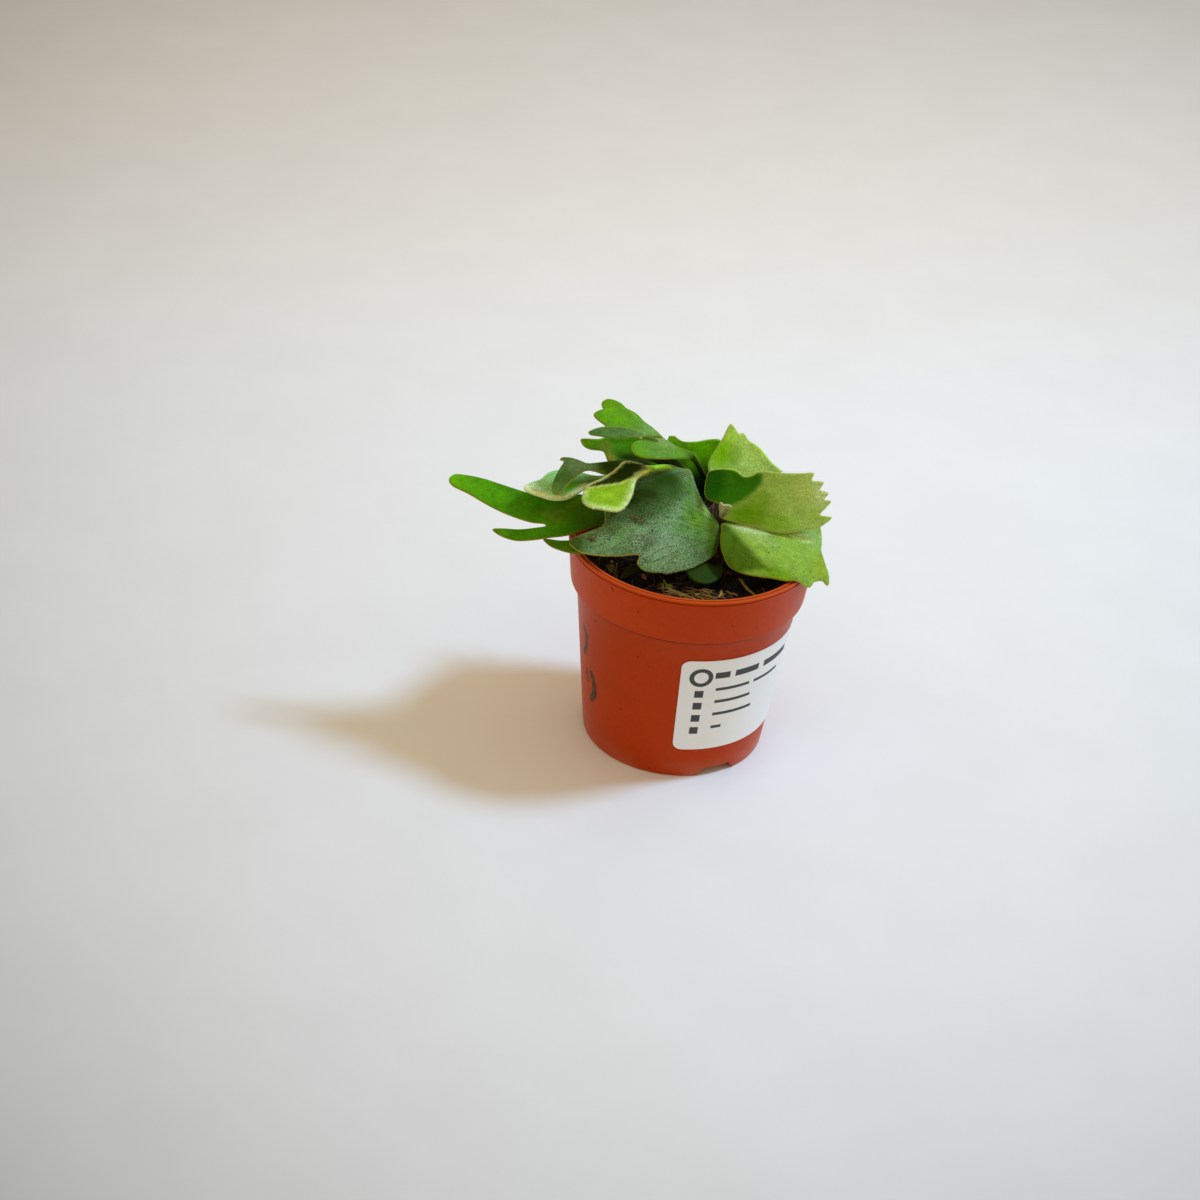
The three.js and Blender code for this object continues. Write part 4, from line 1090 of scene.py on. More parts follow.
make_frond(
    "shield_front", "shield_frond",
    frond_skin(
        "front_shield_felt", rim="#b8aa2c", felt=0.62, bloom="#b6c8ac", gloss=0.62, glow=0.12, vein=0.6,
        dots=0.2,
    ),
    base="#5a8a4c", under="#7da07c", root=(266, 38), foot=(4.5, -2),
    # The darkest patches, on the blade's upper part at negative t, are painted shadow cast by the fronds
    # above it.
    patches=[
        (19, 5.5, 7, 5, "#78a278", 0.9), (12, 5, 6, 5, "#69955a", 0.7), (14, 10, 8, 3, "#6c8c52", 0.6),
        (27.4, 5.5, 4, 2.5, "#4c7434", 0.8), (23.4, 3.6, 3, 2, "#56804a", 0.5),
        (21, -6.5, 9.5, 6.5, "#1c3004", 1), (15, -10.5, 6, 4.5, "#1f3e04", 1),
        (19.5, -3, 6, 3, "#2d4d19", 0.85), (14.5, -6.5, 3, 3, "#2b5211", 0.8),
        (28.5, -2, 6, 4, "#425c18", 0.85), (8, -1.5, 5, 4.5, "#5e8e12", 0.9),
        (7, 3.4, 3, 3, "#4e801c", 0.8), (9.5, -9, 3.5, 4, "#477419", 0.8),
        (10, -13, 2.5, 2.5, "#546c2c", 0.8), (8, -14.8, 1.5, 2, "#6c7634", 0.9),
        (2.5, 0, 3.5, 8, "#4c6801", 1), (6.5, -6.5, 2, 4, "#4b5802", 0.9), (3, 5, 3.5, 4, "#3c5802", 0.9),
        (6.4, 7.5, 3, 2.5, "#455d21", 0.8), (23, 4.6, 5, 3.2, "#47683e", 0.6),
        (38.5, 1, 4, 4, "#33580a", 0.95), (4.5, -4.4, 1.6, 1.8, "#84b044", 0.9),
        (19.4, 2.3, 2.6, 2, "#3c5e30", 0.55), (12.6, 2, 3.2, 2.2, "#457820", 0.55),
        (9.5, 5, 3, 2.4, "#486e2a", 0.45), (10, -4.6, 2.6, 2, "#4a7e0c", 0.5),
        (12.5, -8, 2.6, 2.2, "#2a480a", 0.5), (22.2, -0.7, 2.6, 1.8, "#284012", 0.5),
    ],
    bands=[(12, 22.5, -1, 0.85, "#b4f030", 1)],
    wool=[(5, 40, 1, 3, 0.2, 0.35), (24, 40, -1, 2, 0.18, 0.35)],
    spine=[
        [6, -4.6, 59.2], [0, -8.6, 62.8], [-8, -11.7, 65.2], [-17, -13.6, 63.3], [-24, -14.4, 60.6],
        [-29.5, -14, 57.6],
    ],
    face=[
        [0, -0.66, 0.75], [0, -0.68, 0.73], [0, -0.68, 0.73], [0, -0.62, 0.78], [-0.1, -0.5, 0.86],
        [-0.2, -0.4, 0.88],
    ],
    curl=[
        [-0.02, -0.03], [-0.024, -0.032], [-0.026, -0.035], [-0.026, -0.03], [-0.02, -0.02], [-0.01, -0.01],
    ],
    outline=[
        [0.5, -2.5], [3.5, -4.7], [5.5, -7], [6.7, -10], [7.3, -13.3], [8, -15], [10.5, -14.7], [15, -14.4],
        [20, -12.8], [24.5, -10.4], [28, -8], [29.6, -6], [30.1, -3.5], [31, -2], [35, -1.6], [38.5, -1.4],
        [40, -0.5], [39.3, 1], [37, 3.5], [33, 5.5], [29, 6.6], [24.6, 7.3], [25.3, 9], [24.3, 11],
        [21.5, 12.1], [17, 12.6], [14, 12.5], [10.5, 11.5], [7, 9.7], [4, 7.8], [1.7, 6], [0.5, 3.5],
        [0, 0.5],
    ],
)

# Right-hand shield fronds. Two younger, paler sterile fronds with thin yellow-green blades. The low
# one arches over the pot's lip to a ragged corner and the upright one fans out to a toothed edge.
make_frond(
    "shield_right_low", "shield_frond",
    frond_skin("low_shield_felt", rim="#a8a428", felt=0.3, bloom="#cfe0b0", gloss=0.55, glow=0.2, dots=0.9),
    base="#88ae3a", under="#86a63c", root=(318, 27), foot=(4, -1.5),
    # The palest patches, at s 6 and s 18.3, are painted light that offsets the shadows cast on it by the
    # upright frond.
    patches=[
        (6, 2, 5, 2.2, "#ccecb0", 1), (9, -0.3, 5, 2.5, "#9ebe63", 0.7), (12, -1.5, 3, 2, "#9dc255", 0.6),
        (21, 6, 6, 4, "#8eb05a", 0.7), (26, -1, 4, 4, "#8ea420", 0.7), (16, -9.5, 5, 2.5, "#6b9803", 0.9),
        (18.3, 4, 3.2, 1.6, "#c8ee96", 0.8), (22, -5, 5.5, 3.4, "#7a9a28", 0.5),
    ],
    wool=[(20, 31, 0, 2.5, 0.25, 0.6)],
    # The dark area on the lower left is painted shade.
    areas=[
        ([(-1.5, 2.5), (1.2, 1.2), (3.6, -1.2), (6.2, -3.4), (9.5, -6), (12.6, -8), (13.4, -8.8),
          (10, -9.6), (7, -10.6), (5, -13), (-2, -6)], 1.8, "#416201", 0.95),
    ],
    spine=[
        [6.8, -5.3, 60.6], [13.5, -6.5, 60.3], [21, -7.8, 59.6], [27, -8.6, 58], [31.3, -8.9, 54.5],
        [33.3, -9.3, 50.3],
    ],
    face=[
        [-0.1, -0.2, 0.95], [-0.05, -0.2, 0.95], [0, -0.22, 0.95], [0.25, -0.3, 0.9], [0.75, -0.4, 0.45],
        [0.9, -0.4, 0.1],
    ],
    curl=[[-0.06, -0.08], [-0.06, -0.07], [-0.032, -0.06], [-0.012, -0.02], [-0.02, -0.02], [-0.02, -0.02]],
    outline=[
        [-0.6, 2.2], [4, 3.5], [10, 6.5], [16, 9.5], [20, 12], [22, 11.5], [23.5, 6], [24, 3.5],
        [26.5, 1.3], [29.5, 0.6], [30.7, -0.8], [29, -2], [27.4, -4], [26.2, -5.5], [26, -7.4],
        [23.5, -8.7], [21.5, -9], [19.5, -9.7], [18, -10.4], [15.5, -10.7], [11, -11], [6.5, -10.7],
        [3.5, -9.7], [1.4, -7], [0.2, -4.2], [-0.4, -0.7],
    ],
)
make_frond(
    "shield_right_upright", "shield_frond",
    frond_skin(
        "upright_shield_felt", rim="#bcc060", felt=0.35, bloom="#c8cc9a", gloss=0.55, glow=0.3, vein=0.06,
        dots=0.1, mottling=0.5,
    ),
    base="#9aba4e", under="#8c9a45", root=(313, 54), foot=(5.5, -1),
    patches=[
        (10, -3.5, 7.5, 4.5, "#669203", 1), (12.5, 0.5, 3.5, 3, "#70a010", 0.7),
        (17, -6, 5, 3.5, "#78a524", 0.8), (25, 3, 5, 6, "#b1c962", 0.8), (27, 1, 2.5, 4, "#bfce8a", 0.7),
    ],
    bands=[(2, 12, 1, 0.35, "#7cae14", 0.8)],
    wool=[(13, 30, 1, 6, 0.32, 0.85), (18, 30, -1, 3, 0.25, 0.7)],
    # The two dark areas on the upper left are painted shadow, cast by the rear right frond and seen through
    # the thin blade.
    areas=[
        ([(-2, 7.5), (-2, 0), (2, -1.2), (5.5, -1.2), (8.3, 0), (11, 2.2), (12.8, 4.2), (13.2, 6.5), (9, 8),
          (3, 8)], 1.2, "#2d7400", 1),
        ([(-2, 8), (-2, 0), (2, -1), (3.5, 2), (3, 8)], 3, "#0f5600", 0.95),
    ],
    spine=[[2.5, 0.4, 65.7], [8, -0.2, 65.9], [15, -0.8, 66.6], [21.5, -1.1, 67.5], [29.5, -0.3, 68.8]],
    face=[
        [0, -0.8, 0.6], [-0.05, -0.83, 0.55], [-0.1, -0.85, 0.5], [-0.1, -0.85, 0.5], [-0.15, -0.85, 0.5],
    ],
    curl=[[0.02, 0.03], [0.025, 0.03], [0.03, 0.03], [0.02, 0.02], [0.02, 0.02]],
    outline=[
        [3.5, -4.3], [5.5, -5], [8, -5.5], [11.5, -6], [14.5, -7], [17.5, -7.6], [21.5, -7.3], [25, -7.2],
        [27, -6.5], [29.2, -5], [27.8, -4.4], [26.5, -3.9], [28, -2.5], [29.5, -1], [27.9, -0.4], [29, 1],
        [27.1, 2], [28.1, 3.7], [25.5, 4.4], [26, 6.1], [22.7, 6.4], [17.5, 6.9], [13, 7.4], [10.5, 6.3],
        [8.5, 6], [6.5, 7.2], [4, 7.5], [1, 7], [-0.6, 6], [-1, 3], [-0.8, 0.6], [0.3, -0.5], [2.5, -1.1],
        [3.6, -2.2],
    ],
)

# Rear shield fronds. One stands up behind the crown, thin enough for the light to come through it,
# and one leans back over the pot's far side. Each narrows to a stalk set into the crown.
make_frond(
    "shield_rear_right", "shield_frond",
    frond_skin(
        "rear_shield_felt", rim="#b4c468", felt=0.3, bloom="#c4d8a4", gloss=0.55, glow=0.3, vein=0.08,
        dots=0.12, mottling=0.6,
    ),
    base="#bee46e", under="#93ba58", root=(48, 49),
    patches=[
        (17.5, 3.6, 6.5, 5, "#88c40a", 1), (21, 0, 4, 2, "#b4dc40", 0.5),
        (16.2, -0.2, 3, 2.4, "#82b02c", 0.7),
    ],
    wool=[(8, 24, 0, 4, 0.28, 0.8)],
    spine=[[9, 10, 66], [8, 12, 72.5], [6.7, 13.5, 79.2]],
    face=[[0.4, -0.8, 0.3], [0.4, -0.85, 0.3], [0.4, -0.85, 0.3], [0.35, -0.85, 0.3], [0.3, -0.85, 0.35]],
    curl=[0, 0, 0.01, 0.015, 0.02],
    outline=[
        [3, -1.1], [4.5, -3], [6, -8.5], [8, -12.5], [11, -12], [13.5, -9.7], [16.5, -7.3], [17.7, -6],
        [19, -4.2], [21, -3], [21.3, -1.7], [23.5, -0.5], [24, 0], [23.3, 0.8], [21, 2.4], [18.5, 4.5],
        [16, 6.4], [13.5, 7], [11, 6], [7, 3.6], [4.5, 2], [2.5, 1],
    ],
)
make_frond(
    "shield_back", "shield_frond",
    frond_skin(
        "back_shield_felt", rim="#a49e40", felt=0.4, bloom="#b7caa2", gloss=0.58, glow=0.2, vein=0.2,
    ),
    base="#86a84c", under="#8aa862", root=(30, 18),
    patches=[(6, 0, 7, 5, "#6f8f2a", 0.7), (20, 0, 8, 8, "#95b560", 0.5)],
    spine=[[15, 13, 57], [19, 18, 59], [23.5, 22.5, 58.5], [26.5, 26, 56.3]],
    face=[[-0.3, -0.2, 0.9], [-0.3, -0.2, 0.9], [-0.1, -0.1, 1], [0, 0, 1], [0.1, 0.1, 1], [0.3, 0.3, 0.9]],
    curl=[0, 0, -0.02, -0.04, -0.04, -0.03],
    outline=[
        [3, -1], [5, -3], [8, -6.5], [12, -8.5], [16, -8], [18.5, -8.6], [21, -7], [22, -4.6], [24.5, -3.8],
        [26, -1.5], [25.5, 0.8], [26.3, 3], [24, 5], [21, 5.5], [19, 7.5], [15, 8.5], [11, 7.8], [8, 6],
        [5, 2.8], [3, 1],
    ],
)

# Upper and rear antler fronds. Fertile fronds that rise from the crown and fork into rounded lobes,
# and one that leans back over the pot's far side. Their blades are smooth and green, with a thin
# waxy bloom and a fine yellow-green edge.
make_frond(
    "antler_top", "antler_frond",
    frond_skin("top_antler_skin", rim="#93a01c", felt=0.2),
    base="#5e9526", under="#7aa060", root=(73, 85),
    # The near-black patch on the stalk, at s 10, is painted deep shade among the fronds.
    patches=[
        (27, 0.8, 4, 2, "#849b5a", 0.9), (31, -1, 3, 2, "#78a250", 0.9), (41, -1, 7, 6, "#61a003", 1),
        (27, 4.5, 6, 3, "#5d9038", 0.7), (33, 6, 3, 2.5, "#62a018", 0.8), (10, 0, 11, 4, "#040d01", 1),
        (112, 0, 12, 6, "#72b21a", 1), (212, 0, 12, 6, "#527e3a", 1), (204, 0, 4, 4, "#739c4f", 0.9),
    ],
    spine=[[1.5, 6.4, 68], [-2.5, 4, 75], [-9.5, 1.5, 79.8], [-18, 0.5, 83], [-26.5, 0, 85.3]],
    face=[
        [-0.8, -0.5, 0.2], [-0.8, -0.5, 0.2], [-0.7, -0.5, 0.4], [-0.4, -0.45, 0.7], [-0.15, -0.42, 0.88],
        [-0.1, -0.45, 0.88], [-0.1, -0.5, 0.85],
    ],
    curl=[0, 0, 0, -0.01, -0.02, -0.02, -0.02],
    outline=[
        [3, -0.9], [9, -0.9], [15, -0.9], [18.5, -0.6], [22.5, 0.4], [25, 0.2], [27, -0.2], [28.5, -1],
        [30.5, -1.9], [32.5, -2.6], [34.5, -3.9], [36.5, -4.5], [39, -4.4], [41.5, -3.2], [44, -1.5],
        [45, 0], [44, 1], [42, 1.9], [40.5, 2.6], [39, 3], [36, 2.7], [34.3, 2], [32.6, 1.6], [32.6, 2.5],
        [34, 3.7], [34.6, 5.3], [33.6, 6.9], [31, 7.1], [27.5, 6], [23.5, 4.1], [18.5, 1.7], [14, 1],
        [9, 0.9], [3, 0.9],
    ],
    lobes=[
        (
            [[-10, 1.5, 80.3], [-15, 3.2, 83.7], [-20, 4.8, 85.6], [-25, 6, 85.3]],
            [[-0.3, -0.6, 0.7], [-0.2, -0.6, 0.8], [-0.1, -0.6, 0.8], [-0.1, -0.6, 0.8]],
            [0] * 4,
            [
                [1.5, 1.5], [6.5, 0.5], [9, 0], [10.5, -0.1], [12.5, -0.9], [15, -1.4], [16.2, -1],
                [16.8, 0], [16, 1.4], [13.5, 2.4], [9.5, 2.5], [4.5, 2.4],
            ],
        ),
        (
            [[-10, -0.3, 81.1], [-16, -1.8, 82.1], [-22, -2.9, 82.5], [-27.3, -3.4, 82.5]],
            [[0, -0.6, 0.8], [0, -0.75, 0.65], [0, -0.8, 0.6], [0, -0.8, 0.6]],
            [0] * 4,
            [
                [0, -0.35], [3, -0.4], [6.5, -1.1], [11.5, -1.55], [14.7, -1.15], [17, -0.3], [17.6, 0.3],
                [17, 0.9], [14.7, 1.15], [11.5, 1.5], [6.5, 0.9], [3, 0.35], [0, 0.3],
            ],
        ),
    ],
)
make_frond(
    "antler_left_upper", "antler_frond",
    frond_skin("upper_antler_skin", rim="#a09a34", felt=0.15),
    base="#52951a", under="#8a9c6a", root=(133, 52),
    # The near-black patch along the stalk, at s 17, is painted deep shade among the fronds.
    patches=[
        (27, 1.5, 4, 1.6, "#223e02", 1), (28, -1.5, 4, 2, "#52a210", 0.9),
        (31.4, 2.4, 1.8, 1.4, "#94902e", 1), (33, 0, 2.2, 2, "#7f8c29", 0.8),
        (39, 0, 4, 2.5, "#6db607", 0.9), (17, 0, 10, 4, "#0a1a02", 1),
    ],
    spine=[[-4, 9.5, 67], [-11, 7.5, 71.5], [-18, 5.5, 73.5], [-24, 4, 75], [-29.3, 3, 76.8]],
    face=[
        [-0.6, -0.5, 0.4], [-0.6, -0.5, 0.4], [-0.4, -0.6, 0.6], [-0.2, -0.8, 0.5], [0, -0.85, 0.45],
        [0, -0.8, 0.5], [0, -0.75, 0.6],
    ],
    curl=[0, 0, 0.02, 0.05, 0.06, 0.05, 0.03],
    outline=[
        [3, -0.9], [10, -1], [14.2, -2], [19.2, -2.9], [23.7, -3.7], [28.2, -4], [32.7, -2.8], [35.2, -1.6],
        [38.2, -0.8], [39.6, -0.1], [38.5, 1.2], [36.7, 1.5], [34.2, 1.1], [33.2, 1.3], [32.6, 2.2],
        [31.7, 3.3], [28.7, 3], [25.7, 2.2], [22.7, 1.4], [14.2, 1.2], [10, 1], [3, 0.9],
    ],
)
make_frond(
    "frond_rear_left", "antler_frond",
    frond_skin("rear_frond_skin", rim="#c9d08c", felt=0.12, glow=0.25),
    base="#6ab803", under="#7a9c48", root=(93, 34),
    # The near-black patches are painted shade, the deep shade that lies below the blade's lit upper part.
    patches=[
        (16.8, -4, 4, 3.4, "#6ab801", 1), (10, 1.5, 8, 5.5, "#082200", 1), (28, 9.6, 5, 3.6, "#0c2600", 1),
        (18.6, 4.6, 3.4, 3.4, "#0c2600", 0.9), (22, 1.5, 5, 4, "#4b8000", 0.8),
        (24, -0.5, 2.5, 1.2, "#66981a", 0.8),
    ],
    spine=[[2.5, 13.5, 64], [-0.5, 15.7, 68], [-4, 17, 70.7], [-7.5, 17.5, 72]],
    face=[
        [0, -0.9, 0.3], [0, -0.9, 0.3], [0, -0.85, 0.4], [0, -0.8, 0.5], [0, -0.75, 0.6], [0, -0.7, 0.65],
    ],
    curl=[0, 0.02, 0.03, 0.04, 0.04, 0.03],
    outline=[
        [3, -1.1], [7.4, -2.2], [9.9, -3.8], [11.9, -5.7], [14.4, -7.4], [16.7, -7.3], [17.9, -5.5],
        [19.4, -2.7], [21.4, -0.8], [22.9, -0.6], [23.9, -0.9], [25.3, -0.3], [25.3, 1], [25.9, 3],
        [27.9, 5.5], [29.3, 8.5], [28.9, 10.7], [26.4, 12], [20.9, 11.5], [15.4, 11], [11.4, 8.5],
        [8.4, 5.6], [4, 2.4], [2.3, 1],
    ],
)
make_frond(
    "frond_back", "antler_frond",
    frond_skin("back_frond_skin", rim="#808c20", felt=0.2, vein=0.12),
    base="#5a8a30", under="#7a9a62", root=(110, 12),
    patches=[(28, 0, 9, 6, "#649a2c", 0.5)],
    spine=[[-1, 16, 57], [-6, 21, 58.5], [-12, 25.5, 58], [-18, 29, 56]],
    face=[[-0.3, 0.3, 0.9], [-0.3, 0.3, 0.9], [-0.2, 0.2, 0.95], [-0.1, 0.1, 1], [0, 0, 1], [-0.1, 0.1, 1]],
    curl=[0, 0, -0.01, -0.02, -0.02, -0.02],
    outline=[
        [3, -0.9], [8, -1.3], [13, -2.4], [18, -3.6], [22, -5.2], [26, -7], [29, -7.6], [29.5, -6],
        [27, -4], [24.5, -2], [26, -0.6], [30, 0], [34, 0.4], [35.5, 1.4], [34.5, 2.6], [30, 3], [25, 3.2],
        [19, 3], [13, 2.2], [8, 1.3], [3, 0.9],
    ],
)

# Left-hand antler fronds. Fertile fronds that reach out over the pot's left side: a long forked
# strap, a cupped blade that shows its pale felted back, a forked one that hangs over it, a folded
# young one with woolly edges, and a short one below. All are stalked on the crown.
make_frond(
    "antler_left_long", "antler_frond",
    frond_skin("long_antler_skin", rim="#9c861c", felt=0.1, bloom="#90a070", gloss=0.42, vein=0.15),
    base="#428c03", under="#7a9a5a", root=(200, 16),
    # The darkest patches, at s 12 and s 26, are painted shadow cast by the fronds above it.
    patches=[
        (60, 0, 9, 8, "#60a902", 1), (52, -1, 6, 6, "#55a002", 0.6), (39.5, 0.5, 2.6, 3, "#3e7503", 0.7),
        (34.8, 0.3, 3.6, 3.6, "#5c8618", 0.95), (30, -3, 4, 2.5, "#5e7a0a", 0.9),
        (26, 1, 7, 6, "#335803", 1), (42, 8, 8, 4, "#3f7a02", 0.9), (46.5, 8, 2.5, 1.5, "#4c8407", 0.8),
        (12, 0, 9, 6, "#1c3a04", 1),
    ],
    spine=[[-12, 0, 59.3], [-22, -2.2, 59.6], [-32, -3, 59.3], [-45, -2, 60.6], [-59.5, 0, 64.6]],
    face=[
        [-0.2, -0.4, 0.8], [-0.2, -0.4, 0.8], [0, -0.5, 0.86], [0, -0.5, 0.86], [0, -0.5, 0.86],
        [0.05, -0.5, 0.86], [0.1, -0.5, 0.86],
    ],
    curl=[0, 0, 0, -0.01, -0.015, -0.01, 0],
    outline=[
        [3, -0.9], [9, -1.3], [14.4, -2.2], [20.4, -3.8], [26, -5.8], [30, -6.1], [34, -5.2], [38.4, -4.3],
        [45.4, -4.4], [50.4, -4.3], [54.4, -3.9], [58.4, -2.9], [61.1, -1.8], [61.9, 0], [60.4, 1.4],
        [55.9, 1.7], [50.4, 2.5], [45.4, 3.1], [40.4, 3.5], [37.4, 3.2], [36.8, 3.7], [38.9, 4.6],
        [42.4, 6], [45.9, 6.9], [48, 8], [45.9, 9], [42.4, 9.1], [38.9, 8], [35.4, 6.6], [31.9, 5.5],
        [28.9, 4.2], [24.4, 2.7], [18.4, 2.4], [9, 1.3], [3, 0.9],
    ],
)
make_frond(
    "antler_left_cupped", "antler_frond",
    frond_skin(
        "cupped_antler_skin", rim="#d8ecac", felt=0.45, bloom="#cfdec0", gloss=0.58, glow=0.2, vein=0.08,
    ),
    base="#94d37a", under="#b9cc8c", root=(147, 12),
    patches=[
        (37, 0.5, 5, 3.2, "#4ea304", 1), (31, 0, 6, 4, "#4e6c10", 0.95), (48, 1, 4, 3, "#c4f0c6", 1),
        (45.5, 2.6, 3, 2, "#bcf4b4", 0.8), (18, 0, 8, 4, "#2a5206", 1),
    ],
    bands=[(30, 50, 1, 1.3, "#f2ffb8", 1)],
    wool=[(33, 50, 1, 6, 0.3, 1), (36, 50, -1, 3, 0.22, 0.8)],
    spine=[[-8, 8.3, 60.6], [-17, 7, 64], [-26, 4, 64.5], [-34, 1, 64.2], [-41.5, -1.5, 65.2]],
    face=[
        [-0.2, -0.2, 0.9], [-0.2, -0.2, 0.9], [-0.1, -0.3, 0.9], [0, -0.4, 0.9], [0, -0.35, 0.9],
        [0, -0.3, 0.95], [0, -0.3, 0.95],
    ],
    curl=[0, 0, 0.02, 0.06, 0.08, 0.08, 0.05],
    outline=[
        [3, -0.9], [9, -1], [16.6, -1.5], [22.6, -2.4], [27.6, -2.2], [30.6, -2.3], [33.6, -3.4],
        [36.1, -4.4], [39.1, -5], [42.1, -4.6], [44.6, -2.6], [47.6, -1.2], [49.3, 0.6], [47.9, 2.2],
        [45.6, 3.4], [43.1, 4.8], [40.6, 5], [38.6, 4.3], [35.6, 2.4], [33.1, 1.3], [27.6, 1.8], [22.6, 2],
        [16.6, 1.5], [9, 1], [3, 0.9],
    ],
)
make_frond(
    "antler_left_forked", "antler_frond",
    frond_skin(
        "forked_antler_skin", rim="#8f9a3c", felt=0.45, bloom="#8fa088", gloss=0.55, glow=0.12, vein=0.15,
    ),
    base="#568a3c", under="#7d9a68", root=(169, 32),
    # The near-black patch along the strap, at s 22, is painted deep shade under the fronds above.
    patches=[
        (37.5, -1, 4.5, 3.5, "#6e9464", 1), (30.5, 0, 4, 4, "#2c4006", 1), (22, 0, 9, 5, "#060f01", 1),
        (42.5, 0, 3, 3, "#3b6826", 0.8), (47, 0.5, 3, 2, "#6a9c45", 0.8),
    ],
    spine=[
        [-9, 6.3, 66], [-14, 3.5, 71.5], [-22, 1, 72], [-28.5, -2, 71.7], [-32.3, -4.8, 69.7],
        [-34.5, -7, 66.5],
    ],
    face=[
        [-0.5, -0.4, 0.6], [-0.5, -0.4, 0.6], [-0.3, -0.4, 0.8], [-0.2, -0.5, 0.8], [-0.2, -0.65, 0.7],
        [-0.35, -0.7, 0.6], [-0.55, -0.7, 0.4], [-0.6, -0.75, 0.2],
    ],
    curl=[0, 0, 0, 0, 0.01, 0.02, 0.02, 0.02],
    outline=[
        [3, -0.9], [10, -1], [15.2, -1], [21.2, -1], [26.7, -0.8], [30.2, -0.7], [33.2, -0.6], [35.7, -0.8],
        [37.2, -2], [38.7, -3.6], [39.8, -4.6], [40.4, -4.4], [40, -3.5], [41.2, -2.9], [43.7, -2],
        [46.2, -1], [47.2, 0.4], [46.5, 1.6], [44.7, 2.1], [41.7, 2], [38.7, 1.3], [36.2, 1.1], [34.2, 1.8],
        [31.7, 2.8], [28.2, 2.2], [21.2, 1.4], [15.2, 1.1], [10, 1], [3, 0.9],
    ],
)
make_frond(
    "frond_left_folded", "antler_frond",
    frond_skin(
        "folded_frond_wool", rim="#d0cc70", felt=0.7, bloom="#ecf8b8", gloss=0.6, glow=0.25, vein=0.06,
        dots=0.15,
    ),
    base="#92c01c", under="#7a9440", root=(207, 56),
    # The near-black patch at s 12 is painted deep shade round the stalk.
    patches=[
        (23, 0.6, 6, 3, "#a2dc26", 1), (15, 0, 4, 2, "#486a0a", 1), (12, 0, 8, 3, "#102002", 1),
        (35, 4, 3, 2, "#95b818", 0.7),
    ],
    bands=[
        (27, 46, 1, 1.1, "#ccee90", 0.85), (27, 46, -1, 0.45, "#b0b868", 0.95),
        (26, 32, 1, 0.6, "#f4f05c", 0.9),
    ],
    wool=[(27, 46.5, 1, 6, 0.26, 1), (27, 46, -1, 3, 0.2, 0.9)],
    # The dark area inside the pale margin line is painted shade on the fold's rear wall, under the top
    # frond.
    areas=[
        ([(44.6, -0.6), (40.4, 0.5), (36.6, 1.8), (32.6, 2.3), (28.7, 2.6), (26.6, 2.2), (27, -1.5),
          (30, -3.6), (34, -3.5), (38, -2.7), (42, -2.1), (44.6, -1.6)], 0.3, "#c4d05c", 0.9),
        ([(44.2, -0.9), (40.2, 0.1), (36.6, 1.35), (32.6, 1.85), (28.9, 1.9), (27.4, 1.2), (27, -1.5),
          (30, -3.5), (34, -3.4), (38, -2.6), (41.5, -2), (44, -1.5)], 0.4, "#182a01", 1),
    ],
    spine=[
        [-1.5, 6.6, 65.5], [-5.5, 7, 68.6], [-10, 3.6, 71.2], [-14.5, -1.2, 72.9], [-20, -6, 71.7],
        [-26, -9, 69.8],
    ],
    face=[
        [-0.6, -0.5, 0.4], [-0.6, -0.5, 0.4], [-0.5, -0.5, 0.6], [-0.4, -0.55, 0.65], [-0.3, -0.6, 0.7],
        [-0.15, -0.55, 0.8], [-0.1, -0.5, 0.86], [-0.1, -0.5, 0.86],
    ],
    curl=[[0, 0], [0, 0], [0, 0], [0.02, 0.02], [0.1, 0.02], [0.25, 0], [0.3, -0.01], [0.25, -0.01]],
    outline=[
        [3, -0.9], [8, -1], [12, -1], [17, -1], [21, -0.6], [24, -0.1], [26.5, -0.2], [28, -1],
        [30.5, -2.5], [32, -3], [34, -2.5], [36.5, -2], [39.5, -1.6], [42, -1.5], [43.8, -0.9], [45, 0.2],
        [46, 2.3], [45, 4.6], [42.5, 6.3], [40, 8], [38.5, 8.1], [37, 7.2], [35.5, 5.8], [32.5, 3],
        [29.5, 2.3], [27.5, 2.1], [24.5, 1.8], [21, 1.2], [17, 1.3], [12, 1.4], [8, 1.1], [3, 0.9],
    ],
)
make_frond(
    "frond_left_low", "antler_frond",
    frond_skin(
        "low_frond_skin", rim="#7c6c1c", felt=0.12, bloom="#90a070", gloss=0.48, glow=0.12, vein=0.12,
    ),
    base="#457703", under="#7a9058", root=(238, 13),
    # The dark patch at s 14 is painted shade round the stalk, under the front shield frond.
    patches=[(14, 0, 8, 4, "#223c04", 0.9)],
    spine=[[-7, -5.5, 56], [-16, -10, 57], [-25, -12.7, 56.7], [-31, -12.6, 56], [-36, -11.7, 56.4]],
    face=[
        [0, -0.3, 0.9], [0, -0.3, 0.9], [0, -0.3, 0.95], [0, -0.35, 0.95], [0, -0.35, 0.95],
        [0, -0.35, 0.95], [0, -0.35, 0.95],
    ],
    curl=[0] * 7,
    outline=[
        [3, -0.9], [9, -1], [18.9, -1.9], [25.9, -2.6], [31.9, -2.6], [35.9, -2.1], [38.9, -1.7],
        [40.9, -1.3], [41.9, -0.8], [39.9, 0.4], [37.4, 1], [34.9, 1.6], [31.9, 2], [25.9, 1.8],
        [18.9, 1.7], [9, 1], [3, 0.9],
    ],
)

